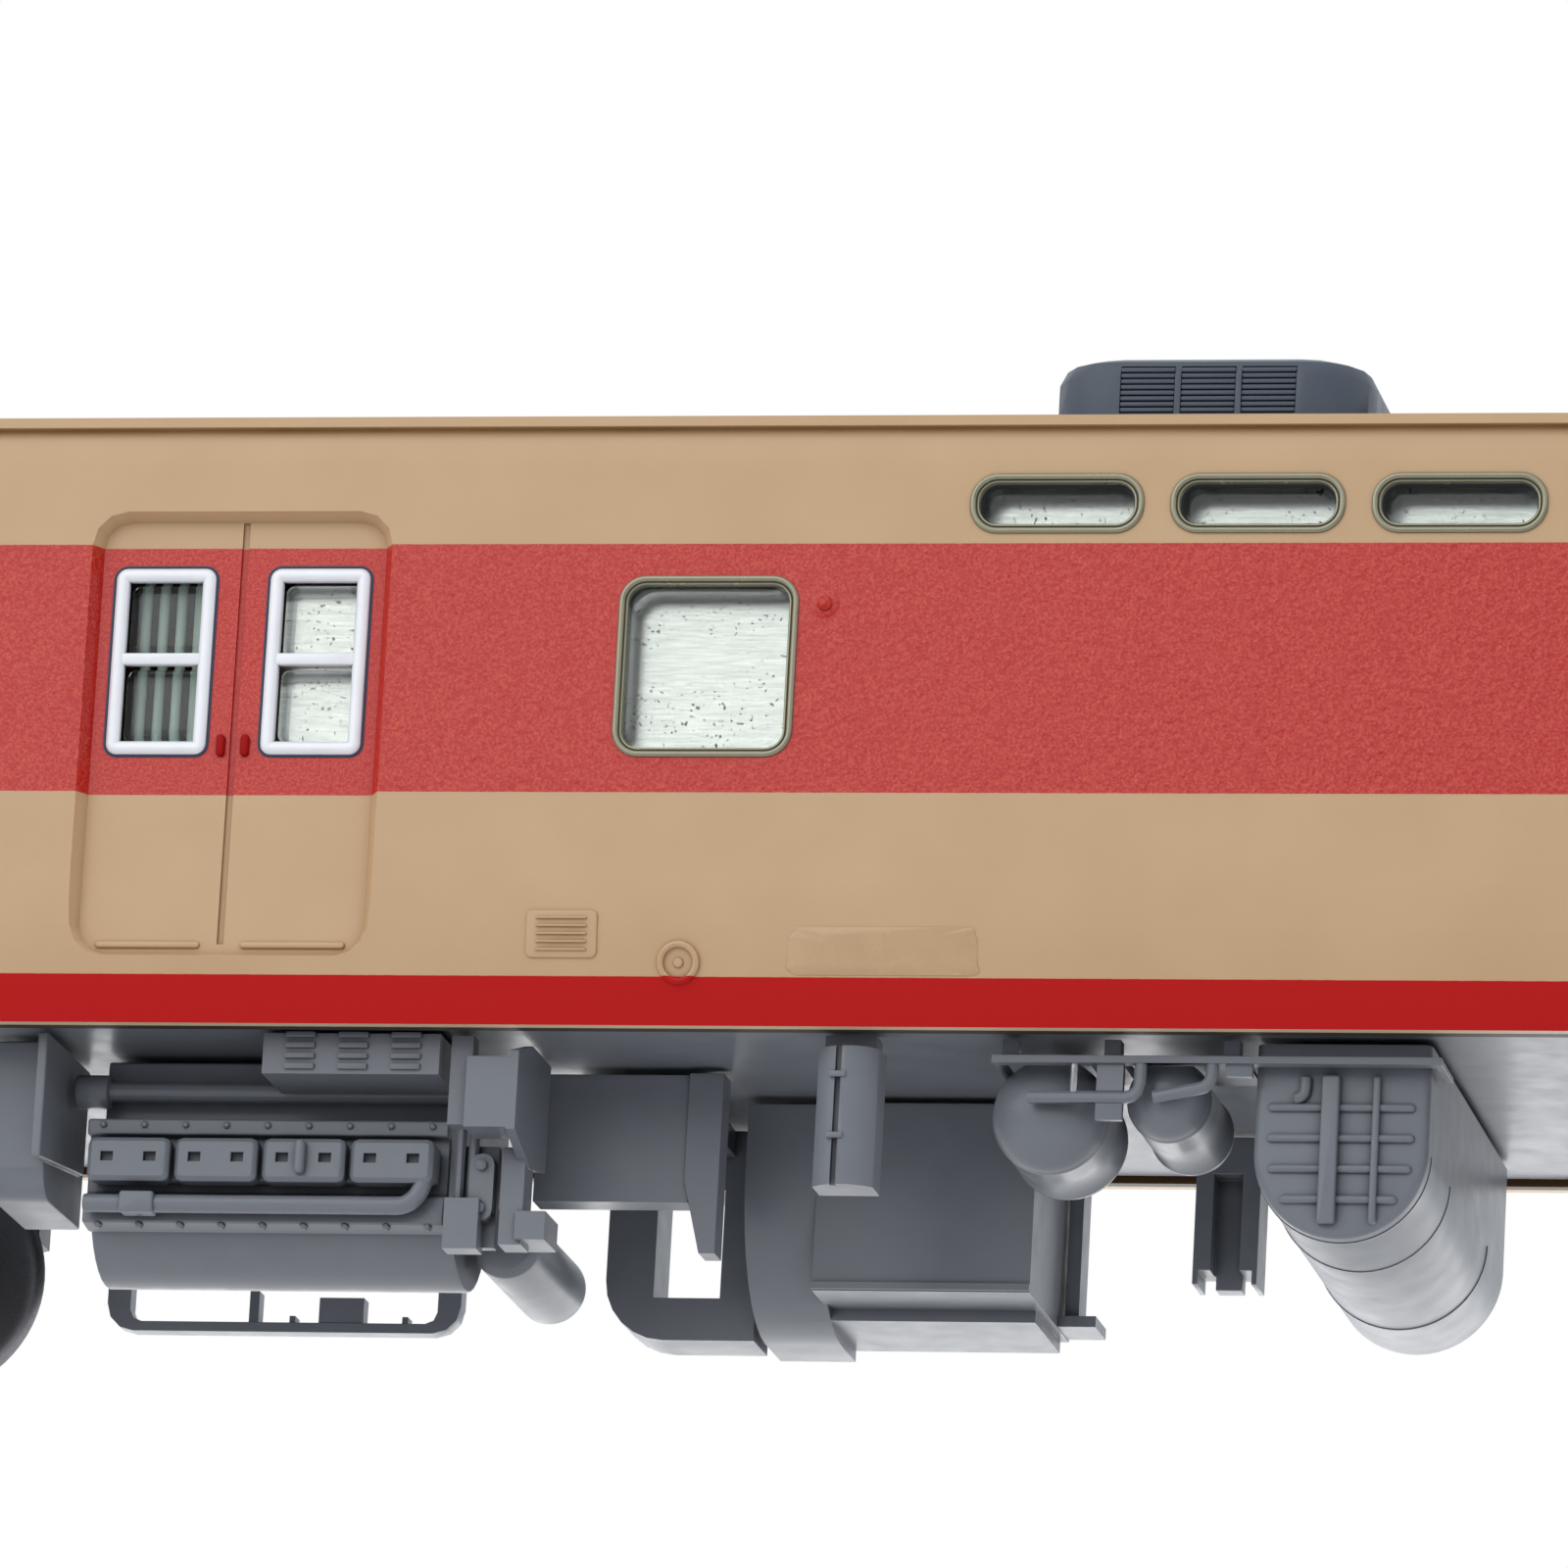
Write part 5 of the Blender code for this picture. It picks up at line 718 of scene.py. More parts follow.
@dataclass(frozen=True)
class Clear:
    """Clear moulded plastic, seen through without dark shadows."""

    name: str
    tint: str = "#F2F6F4"
    roughness: float = 0.02
    index: float = 1.38

    def make(self) -> bpy.types.Material:
        """The material: refraction for the eye, plain transparency for shadows.

        Returns:
            The material.
        """
        g = Graph.material(self.name)
        tint = linear(self.tint)
        g.set(Base_Color=tint, Roughness=self.roughness, IOR=self.index, Transmission_Weight=1.0)
        g.blend(g.path("Is Shadow Ray"), g.add("BsdfTransparent", None, Color=tint))
        return g.owner


TURNED = (1.0, 0.1, 1.0)


class Finish(Enum):
    """Every finish of the coach."""

    PAINT = BandedPaint()
    ROOF = Plastic("roof_paint", "#55595F", 0.5)
    # A plastic's second colour is the painted shade in its inner corners.
    UNIT = Plastic("unit_paint", "#4E5662", 0.42, worn="#353B44")
    GREY = Plastic("underfloor_plastic", "#757980", 0.34, depth_mm=0.001, worn="#3C4045")
    BOGIE = Plastic("bogie_plastic", "#5D5F62", 0.5, worn="#26282B")
    BLACK = Plastic("coupler_plastic", "#1E1F21", 0.45)
    RUBBER = Plastic("bellows_rubber", "#34363A", 0.7)
    OLIVE = Plastic("rim_paint", "#98947D", 0.24, metallic=0.5, worn="#4A4636")
    SILVER = Plastic("silver_paint", "#F0F1F4", 0.34, metallic=0.15, worn="#6B7280")
    OUTLINE = Plastic("frame_outline", "#2C3550", 0.4)
    FILM = Plastic("film", "#C8A67E", 0.26, depth_mm=0.012)
    GUARD = Plastic("guard_bars", "#A9BBB0", 0.4)
    HANDLE = Plastic("handle_red", "#A00C08", 0.5, shine=0.15)
    STEEL = BrushedMetal("plated_plate", "#BCBBB8", 0.26, specks=0.9, wave_mm=0.02)
    WHEEL = BrushedMetal("turned_wheel", "#77777A", 0.35, TURNED, scratch="#6A6A6E", scratch_mm=0.001)
    AXLE = BrushedMetal("turned_axle", "#B9B9BA", 0.28, TURNED, scratch="#A6A6A8", scratch_mm=0.001)
    GLASS = Clear("clear_panes")
    LENS = Clear("clear_lens", "#FFF6E6", 0.05)


# Finish and width of the rounded edges in mm for each slot of the record
CAD_LOOKS = {
    "cream_paint": (Finish.PAINT, 0.14),
    "roof_grey": (Finish.ROOF, 0.15),
    "unit_grey": (Finish.UNIT, 0.1),
    "underfloor_grey": (Finish.GREY, 0.12),
    "bogie_grey": (Finish.BOGIE, 0.15),
    "coupler_black": (Finish.BLACK, 0.2),
    "bellows_grey": (Finish.RUBBER, 0.0),
    "plated_steel": (Finish.STEEL, 0.0),
    "wheel_metal": (Finish.WHEEL, 0.0),
    "axle_steel": (Finish.AXLE, 0.0),
    "clear_plastic": (Finish.GLASS, 0.1),
    "lens_plastic": (Finish.LENS, 0.15),
}


@dataclass(frozen=True)
class SoftEdge:
    """Rounds a CAD node's edges for the eye: weld, merge flat facets, bevel, even the normals.

    Facets closer in angle than flat are merged, and edges sharper than corner are rounded, in degrees.
    """

    width_mm: float
    merge: bool = True
    weld_mm: float = 0.002
    flat: float = 0.6
    corner: float = 28.0
    segments: int = 2

    def apply(self, thing: Thing) -> None:
        """Adds the modifiers; merge is off where a wall has recesses, whose merged faces would fold.

        Args:
            thing: The piece.
        """
        weld = thing.modifiers.new("weld", "WELD")
        weld.merge_threshold = self.weld_mm * MM
        if self.merge:
            flat = thing.modifiers.new("flat", "DECIMATE")
            flat.decimate_type = "DISSOLVE"
            flat.angle_limit = math.radians(self.flat)
        bevel = thing.modifiers.new("edges", "BEVEL")
        bevel.width = self.width_mm * MM
        bevel.segments = self.segments
        bevel.limit_method = "ANGLE"
        bevel.angle_limit = math.radians(self.corner)
        bevel.use_clamp_overlap = True
        bevel.harden_normals = False
        even = thing.modifiers.new("normals", "WEIGHTED_NORMAL")
        even.keep_sharp = False


class Palette:
    """Every finish as a material, made once, and the ways to put one on a piece."""

    def __init__(self) -> None:
        """Makes the materials."""
        self.made = {finish: finish.value.make() for finish in Finish}

    def coat(self, thing: Thing, finish: Finish) -> None:
        """Gives a piece its finish and reports it.

        Args:
            thing: The piece.
            finish: Its finish.
        """
        thing.data.materials.clear()
        thing.data.materials.append(self.made[finish])
        log.info("%s: %s", thing.name, finish.name.lower())

    def dress(self, thing: Thing, finish: Finish, body: str = "coach") -> None:
        """Gives a new piece its finish and the body it rides on.

        Args:
            thing: The piece.
            finish: Its finish.
            body: The body it rides on.
        """
        self.coat(thing, finish)
        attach(thing, body)

    def underfloor(self, thing: Thing) -> None:
        """Dresses a new piece below the floor."""
        self.dress(thing, Finish.GREY)

    def dress_frame(self) -> None:
        """Gives every CAD node its finish and soft edges."""
        slots = {entry["node"]: entry["material_slot"] for entry in frame["record"]["subparts"]}
        for name, node in frame["nodes"].items():
            finish, edge = CAD_LOOKS[slots[name]]
            self.coat(node, finish)
            if edge:
                SoftEdge(edge, merge=finish is not Finish.UNIT).apply(node)


# Sub-assemblies

@dataclass(frozen=True)
class Window:
    """One kind of window.  Lengths in mm.

    Attributes:
        opening: Width, height and corner radius.
        up: Height of its middle above the sill.
        crown: Width of the rounded edge of its pane.
        steps: Pieces in each corner of its rim.
    """

    opening: Size
    up: float
    crown: float
    steps: int = 8


@dataclass
class SideTrim:
    """What the trim of both long sides shares.  Heights count from the sill, x from the middle, in mm."""

    sill: float
    half_length: float
    level: float = 18.15
    foot_top: float = 7.0
    foot_radius: float = 21.88
    square_x: float = 36.275
    door_x: float = 59.575
    door_half: float = 7.05
    door_recess: float = 0.75
    leaf_z: float = 17.925
    leaf_offset: float = 3.85
    bar_lift: float = 0.12
    crew: Window = Window((4.4, 9.25, 0.5), leaf_z, 0.35, 5)
    crew_from_end: float = 16.6
    crew_half: float = 3.7
    crew_recess: float = 0.4
    cab_from_crew: float = 8.6

    @property
    def crew_x(self) -> float:
        """Distance of the crew doors from the middle."""
        return self.half_length - self.crew_from_end

    @property
    def cab_x(self) -> float:
        """Distance of the cab windows from the middle."""
        return self.crew_x + self.cab_from_crew

    @property
    def end_x(self) -> float:
        """Distance of the outer square windows: half way between the two doors."""
        return (self.door_x + self.door_half + self.crew_x - self.crew_half) / 2

    def wall(self, side: Side) -> Plane:
        """The outer face of a side, with its curved foot."""
        return Plane(side.value, self.level, self.sill + self.foot_top, self.foot_radius)

    def halves(self) -> Iterator[tuple[Side, float, str]]:
        """Each half of each side.

        Yields:
            The side, the sign of x and the word for names.
        """
        for side in Side:
            for number, sign in enumerate((-1.0, 1.0)):
                yield side, sign, f"{side.tag}_{number}"


@dataclass
class Windows(SideTrim):
    """Window rims, clear panes and guard bars.

    A section is (distance outside the opening, height above the wall) in mm.
    """

    oblong: Window = Window((8.45, 2.95, 1.35), 25.6, 0.95, 10)
    oblongs: int = 5
    oblong_pitch: float = 9.75
    oblong_recess: float = 0.6
    square_z: float = 17.5
    square: Window = Window((8.8, 9.0, 1.3), square_z, 0.55)
    cab: Window = Window((5.4, 9.0, 0.8), square_z, 0.4, 6)
    leaf_pane: Window = Window((4.1, 3.95, 0.5), SideTrim.leaf_z, 0.6)
    leaf_pane_rise: float = 2.12
    leaf_recess: float = 0.6
    rim_middle: Pair = (-0.13, 0.03)
    rim_bow: Pair = (0.15, 0.12)
    rim_lip: Points = ((0.02, -0.35), (-0.46, -0.35), (-0.46, -0.02),
                       (-0.42, 0.04), (-0.36, 0.05), (-0.3, 0.0))
    # Section of the dark ring in each oblong rim: painted shade between rim and pane.
    gasket: Points = ((-0.2, -0.5), (-0.42, -0.28), (-0.54, -0.44), (-0.58, -0.6), (-0.2, -0.62))
    pane_gap: float = 0.15
    pane_recess: float = 0.25
    pane_least: float = 0.3
    pane_steps: int = 7
    crown_depth: float = 0.6
    corner_share: float = 0.4
    corner_least: float = 0.2
    glazing_back: float = 15.75
    guards: int = 4
    guard_behind: float = 0.3
    guard_pitch: float = 0.87
    guard_reach: float = 4.9
    guard_radius: float = 0.25
    guard_sides: int = 10

    def build(self, palette: Palette) -> None:
        """Adds the windows of both sides.

        Args:
            palette: The finishes.
        """
        for side in Side:
            self.rims(palette, side)
            self.panes(palette, side)
            self.guard_bars(palette, side)

    def oblong_places(self) -> list[float]:
        """Middles of the oblong windows, even about the coach's middle."""
        return [(i - (self.oblongs - 1) / 2) * self.oblong_pitch for i in range(self.oblongs)]

    def square_places(self) -> list[float]:
        """Middles of the four square windows."""
        return [-self.end_x, -self.square_x, self.square_x, self.end_x]

    def rims(self, palette: Palette, side: Side) -> None:
        """Raised double-ridged rims round the windows, and a dark ring in each oblong one that is painted
        shade between rim and pane.

        Args:
            palette: The finishes.
            side: The side of the coach.
        """
        ridges = np.concatenate([arc(self.rim_middle, self.rim_bow, math.pi, 0.0), self.rim_lip])
        kinds = (("oblong_rim", self.oblong, self.oblong_places(), ridges, Finish.OLIVE),
                 ("oblong_gasket", self.oblong, self.oblong_places(), np.array(self.gasket), Finish.RUBBER),
                 ("square_rim", self.square, self.square_places(), ridges, Finish.OLIVE),
                 ("cab_rim", self.cab, [-self.cab_x, self.cab_x], ridges, Finish.OLIVE))
        for name, window, places, section, finish in kinds:
            for i, x in enumerate(places):
                made = rim(f"{name}_{side.tag}_{i}", self.wall(side), (x, self.sill + window.up),
                           window.opening, section, window.steps)
                palette.dress(made, finish)

    def pane(self, side: Side, window: Window, x: float, recess: float, rise: float = 0.0) -> np.ndarray:
        """One clear pane whose front edge shrinks and rises along a quarter ellipse.

        Args:
            side: The side it is on.
            window: Its kind.
            x: Its middle in mm.
            recess: Distance of its face behind the wall.
            rise: Height of its middle above the kind's.

        Returns:
            Its grid, from the back to the front.
        """
        front = self.level - recess
        turn = np.linspace(0.0, QUARTER, self.pane_steps)
        insets = self.pane_gap + np.concatenate([[0.0], window.crown * (1.0 - np.cos(turn))])
        depth = min(window.crown * self.crown_depth, front - self.glazing_back - self.pane_least)
        levels = np.concatenate([[self.glazing_back], front - depth + depth * np.sin(turn)])
        width, height, radius = window.opening
        corners = np.maximum(radius - insets * self.corner_share, self.corner_least)
        outlines = [rounded_outline(width - 2 * i, height - 2 * i, r) for i, r in zip(insets, corners)]
        return Plane(side.value, 0.0).place(stacked(outlines, levels), x, self.sill + window.up + rise)

    def panes(self, palette: Palette, side: Side) -> None:
        """The clear panes of one side in place of the faceted glazing.

        Args:
            palette: The finishes.
            side: The side of the coach.
        """
        grids = [self.pane(side, self.oblong, x, self.oblong_recess) for x in self.oblong_places()]
        grids += [self.pane(side, self.square, x, self.pane_recess) for x in self.square_places()]
        for end in End:
            grids.append(self.pane(side, self.cab, end.value * self.cab_x, self.pane_recess))
            crew_recess = self.crew_recess + self.pane_recess / 2
            grids.append(self.pane(side, self.crew, end.value * self.crew_x, crew_recess))
            for offset in (-self.leaf_offset, self.leaf_offset):
                for rise in (-self.leaf_pane_rise, self.leaf_pane_rise):
                    grids.append(self.pane(side, self.leaf_pane, end.value * self.door_x + offset,
                                           self.door_recess + self.leaf_recess, self.bar_lift + rise))
        made = solid(f"panes_{side.tag}", grids)
        palette.dress(made, Finish.GLASS)
        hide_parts(f"glazing_{side.tag}")

    def guard_bars(self, palette: Palette, side: Side) -> None:
        """Upright bars behind the outer leaf of each double door.

        Args:
            palette: The finishes.
            side: The side of the coach.
        """
        y = side.value * (self.glazing_back - self.guard_behind)
        heights = [self.sill + self.leaf_z + up for up in (-self.guard_reach, 0.0, self.guard_reach)]
        bars = []
        for end in End:
            middle = end.value * (self.door_x + self.leaf_offset)
            for i in range(self.guards):
                x = middle + (i - (self.guards - 1) / 2) * self.guard_pitch
                path = np.array([[x, y, z] for z in heights])
                bars.append(tube_grid(path, self.guard_radius, self.guard_sides))
        palette.dress(solid(f"guard_bars_{side.tag}", bars), Finish.GUARD)


@dataclass
class Doors(SideTrim):
    """Pane frames, handles and kick ridges of the double doors and the crew doors.

    A place is along from the door's middle and up from the sill; the bar's width comes from its pane.
    """

    leaf: Size = (4.9, 9.25, 0.5)
    frame_middle: Pair = (-0.28, 0.02)
    frame_bow: Pair = (0.34, 0.16)
    frame_foot: Points = ((0.06, -0.2), (-0.62, -0.2))
    frame_edge: Points = ((0.04, 0.0), (0.1, 0.05), (0.18, 0.04), (0.2, -0.1), (0.04, -0.1))
    frame_steps: int = 5
    bar: Block = Block((0.0, 0.62, 0.05), -0.2, 0.14, 0.12, 2)
    bar_gap: float = 0.9
    handle: Block = Block((0.42, 1.1, 0.2), -0.1, 0.26, 0.12, 3)
    handle_place: Pair = (0.6, 13.7)
    kick: Block = Block((5.2, 0.36, 0.17), -0.1, 0.14, 0.12, 4)
    kick_place: Pair = (3.6, 3.75)
    crew_handle: Block = Block((0.4, 1.4, 0.15), -0.1, 0.3, 0.1, 3)
    crew_handle_place: Pair = (-2.6, 11.4)

    def build(self, palette: Palette) -> None:
        """Adds the trim of every door.

        Args:
            palette: The finishes.
        """
        for side, sign, tag in self.halves():
            self.double_door(palette, side, tag, sign * self.door_x)
            self.crew_door(palette, side, tag, sign * self.crew_x)

    def pane_frame(self, palette: Palette, leaf: Plane, tag: str, x: float, opening: Size) -> None:
        """A silver frame with a cross bar and a thin dark edge, round a door pane.

        Args:
            palette: The finishes.
            leaf: The face of the door leaf.
            tag: Its word in the names of pieces.
            x: Its middle along the coach in mm.
            opening: Width, height and corner radius of the pane's opening in mm.
        """
        z = self.sill + self.leaf_z
        ridge = np.concatenate([arc(self.frame_middle, self.frame_bow, math.pi, 0.0), self.frame_foot])
        parts = (("frame", ridge, Finish.SILVER), ("edge", np.array(self.frame_edge), Finish.OUTLINE))
        for name, section, finish in parts:
            made = rim(f"pane_{name}_{tag}", leaf, (x, z), opening, section, self.frame_steps)
            palette.dress(made, finish)
        bar = replace(self.bar, size=(opening[0] - self.bar_gap, *self.bar.size[1:]))
        palette.dress(pad(f"pane_bar_{tag}", leaf, (x, z + self.bar_lift), bar), Finish.SILVER)

    def double_door(self, palette: Palette, side: Side, tag: str, x: float) -> None:
        """Pane frames, pull handles and kick ridges of one double door.

        Args:
            palette: The finishes.
            side: The side of the coach.
            tag: Its word in the names of pieces.
            x: Its middle along the coach in mm.
        """
        leaf = Plane(side.value, self.level - self.door_recess)
        small = (("handle", self.handle, self.handle_place, Finish.HANDLE),
                 ("kick", self.kick, self.kick_place, Finish.PAINT))
        for i, sign in enumerate((-1.0, 1.0)):
            self.pane_frame(palette, leaf, f"{tag}_{i}", x + sign * self.leaf_offset, self.leaf)
            for name, block, (along, up), finish in small:
                centre = (x + sign * along, self.sill + up)
                palette.dress(pad(f"door_{name}_{tag}_{i}", leaf, centre, block), finish)

    def crew_door(self, palette: Palette, side: Side, tag: str, x: float) -> None:
        """The pane frame and the handle of one crew door.

        Args:
            palette: The finishes.
            side: The side of the coach.
            tag: Its word in the names of pieces.
            x: Its middle along the coach in mm.
        """
        leaf = Plane(side.value, self.level - self.crew_recess)
        self.pane_frame(palette, leaf, f"crew_{tag}", x, self.crew.opening)
        along, up = self.crew_handle_place
        handle = pad(f"crew_handle_{tag}", leaf, (x + along, self.sill + up), self.crew_handle)
        palette.dress(handle, Finish.SILVER)


@dataclass
class Fittings(SideTrim):
    """Bosses, louvre plates, filler rings and the bare film.  Places along count from the square window."""

    boss_place: Pair = (-5.7, 20.6)
    boss_foot: Points = ((-0.2, 0.72), (0.02, 0.7), (0.06, 0.5))
    boss_middle: Pair = (0.06, 0.001)
    boss_dome: Pair = (0.28, 0.38)
    boss_steps: int = 6
    boss_sides: int = 24
    plate: Block = Block((3.5, 2.3, 0.3), -0.3, 0.1)
    plate_place: Pair = (6.35, 4.25)
    slat: Block = Block((2.5, 0.12, 0.05), 0.0, 0.2, 0.05, 2)
    slat_first: float = 3.49
    slat_pitch: float = 0.38
    slats: int = 5
    filler: Size = (1.4, 1.4, 0.7)
    filler_place: Pair = (0.6, 2.9)
    filler_middle: Pair = (0.18, 0.02)
    filler_bead: Pair = (0.18, 0.2)
    filler_sides: int = 8
    filler_steps: int = 6
    dot: Block = Block((0.5, 0.5, 0.25), -0.3, 0.1)
    film: Size = (9.2, 2.3, 0.5)
    film_place: Pair = (-26.9, 3.5)
    film_shares: tuple[float, ...] = (1.0, 1.0, 0.985, 0.6, 0.2)
    film_heights: tuple[float, ...] = (-0.2, 0.02, 0.04, 0.045, 0.045)
    film_tears: tuple[Triple, ...] = ((0.02, 7.0, 0.0), (0.015, 17.0, 1.0))
    film_steps: int = 10

    def build(self, palette: Palette) -> None:
        """Adds the fittings of every half side, and the film on the right.

        Args:
            palette: The finishes.
        """
        for side, sign, tag in self.halves():
            self.boss(palette, side, tag, sign)
            self.small(palette, self.wall(side), tag, sign)
        self.bare_film(palette)

    def boss(self, palette: Palette, side: Side, tag: str, sign: float) -> None:
        """A domed boss on a turned foot.

        Args:
            palette: The finishes.
            side: The side of the coach.
            tag: Its word in the names of pieces.
            sign: The sign of x.
        """
        dome = arc(self.boss_middle, self.boss_dome, QUARTER, 0.0, self.boss_steps)
        along, up = self.boss_place
        place = (sign * (self.square_x + along), side.value * self.level, self.sill + up)
        profile = np.concatenate([self.boss_foot, dome])
        made = lathe(f"lamp_boss_{tag}", profile, place, Axis.Y, self.boss_sides, sign=side.value)
        palette.dress(made, Finish.PAINT)

    def small(self, palette: Palette, wall: Plane, tag: str, sign: float) -> None:
        """The louvre plate with its slats, and the filler ring with its dot.

        Args:
            palette: The finishes.
            wall: The outer face of the side.
            tag: Its word in the names of pieces.
            sign: The sign of x.
        """
        along, up = self.plate_place
        x = sign * (self.square_x + along)
        palette.dress(pad(f"louvre_plate_{tag}", wall, (x, self.sill + up), self.plate), Finish.PAINT)
        for i in range(self.slats):
            z = self.sill + self.slat_first + i * self.slat_pitch
            palette.dress(pad(f"louvre_slat_{tag}_{i}", wall, (x, z), self.slat), Finish.PAINT)
        along, up = self.filler_place
        place = (sign * (self.square_x + along), self.sill + up)
        bead = arc(self.filler_middle, self.filler_bead, 0.0, TURN, self.filler_sides + 1)[:-1]
        ring = rim(f"filler_ring_{tag}", wall, place, self.filler, bead, self.filler_steps)
        palette.dress(ring, Finish.PAINT)
        palette.dress(pad(f"filler_dot_{tag}", wall, place, self.dot), Finish.PAINT)

    def bare_film(self, palette: Palette) -> None:
        """The bare film low on the right side: an outline torn by two sine waves round its edge.

        Args:
            palette: The finishes.
        """
        outline = rounded_outline(*self.film, steps=self.film_steps)
        turn = np.arctan2(outline[:, 1] * self.film[0] / self.film[1], outline[:, 0])
        torn = 1.0 + sum(depth * np.sin(waves * turn + shift) for depth, waves, shift in self.film_tears)
        outlines = [outline * torn[:, None] * share for share in self.film_shares]
        x, up = self.film_place
        grid = self.wall(Side.RIGHT).place(stacked(outlines, self.film_heights), x, self.sill + up)
        palette.dress(solid("bare_film", grid), Finish.FILM)


@dataclass
class RunningGear:
    """Finely turned wheels in place of the faceted ones.  Profiles are (along the axle, radius) in mm."""

    tread: float = 5.35
    flange: float = 6.02
    flange_middle: float = 0.36
    flange_half: float = 0.34
    flange_root: float = 0.1
    back: Points = ((0.0, 0.9), (0.0, 5.2))
    face: Points = ((2.4, 5.27), (2.58, 5.1), (2.6, 4.4), (2.3, 4.2), (1.95, 4.0),
                    (1.9, 2.2), (2.2, 1.9), (2.55, 1.75), (2.6, 1.6), (2.6, 0.9))
    sides: int = 64

    def build(self, palette: Palette) -> None:
        """Replaces every wheel with a lathe-turned one on the same body.

        Args:
            palette: The finishes.
        """
        root = self.tread + self.flange_root
        flange = arc((self.flange_middle, root), (self.flange_half, self.flange - root), math.pi, 0.0)
        profile = np.concatenate([self.back, flange, self.face])
        for name in [n for n in frame["nodes"] if n.startswith("wheel_")]:
            low, high = node_box(name)
            middle = (low + high) / 2
            out, inner = (1.0, low[1]) if middle[1] > 0 else (-1.0, high[1])
            place = (middle[0], inner, middle[2])
            made = lathe(f"turned_{name}", profile, place, Axis.Y, self.sides, True, out)
            palette.dress(made, Finish.WHEEL, frame["nodes"][name]["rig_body"])
            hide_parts(name)


@dataclass
class Engine:
    """Bolts on both ledges of the engine, a peg on its third cover and the bent oil pipe with its block."""

    bolt: Points = ((0.3, 0.17), (-0.1, 0.17), (-0.16, 0.1))
    bolts: int = 9
    bolt_sides: int = 6
    bolt_margin: float = 0.8
    ledge_rise: float = 0.9
    sump_drop: float = 1.9
    sump_inset: float = 0.1
    pipe_radius: float = 0.45
    pipe_bend: float = 0.6
    pipe_inset: float = 0.55
    pipe_drop: float = 1.05
    pipe_start: float = 0.3
    pipe_corner: Pair = (1.6, 0.0)
    pipe_rise: Pair = (0.9, 0.9)
    pipe_end: Pair = (0.9, 1.5)
    peg: Block = Block((0.5, 1.7, 0.25), -0.2, 0.5, 0.2)
    peg_share: float = 0.62
    peg_lift: float = 0.1
    pipe_block: Block = Block((1.7, 1.05, 0.15), -1.0, 0.05, 0.12)
    block_share: float = 0.15

    def build(self, palette: Palette) -> None:
        """Adds the pieces, placed from the engine block and its row of covers.

        Args:
            palette: The finishes.
        """
        low, high = node_box("engine_block")
        heads_low, heads_high = node_box("cylinder_heads")
        rows = (("ledge", low[1], heads_high[2] + self.ledge_rise),
                ("sump", low[1] + self.sump_inset, heads_low[2] - self.sump_drop))
        places = np.linspace(low[0] + self.bolt_margin, high[0] - self.bolt_margin, self.bolts)
        for i, x in enumerate(places):
            for row, y, z in rows:
                made = lathe(f"{row}_bolt_{i}", np.array(self.bolt), (x, y, z), Axis.Y, self.bolt_sides)
                palette.underfloor(made)
        y, z = heads_low[1] + self.pipe_inset, heads_low[2] - self.pipe_drop
        turns = (self.pipe_corner, self.pipe_rise, self.pipe_end)
        corners = [[low[0] + self.pipe_start, y, z]] + [[high[0] - along, y, z + up] for along, up in turns]
        path = bent(np.array(corners), self.pipe_bend)
        palette.underfloor(solid("oil_pipe", tube_grid(path, self.pipe_radius)))
        cover = Plane(-1.0, -heads_low[1])
        middle = (heads_low[2] + heads_high[2]) / 2 + self.peg_lift
        for name, share, up, block in (("head_peg", self.peg_share, middle, self.peg),
                                       ("oil_pipe_block", self.block_share, z, self.pipe_block)):
            x = heads_low[0] + share * (heads_high[0] - heads_low[0])
            palette.underfloor(pad(name, cover, (x, up), block))


@dataclass(frozen=True)
class Drum:
    """A round vessel: its node, the axis it lies along, and its sizes in mm.

    Attributes:
        node: The CAD node it replaces.
        axis: The axis it lies along.
        radius: Radius of the barrel.
        depth: Depth of each domed end.
        flat: Flat share of an end's radius.
        seam: Height of the weld ring where an end meets the barrel.
    """

    node: str
    axis: Axis
    radius: float
    depth: float
    flat: float
    seam: float = 0.0


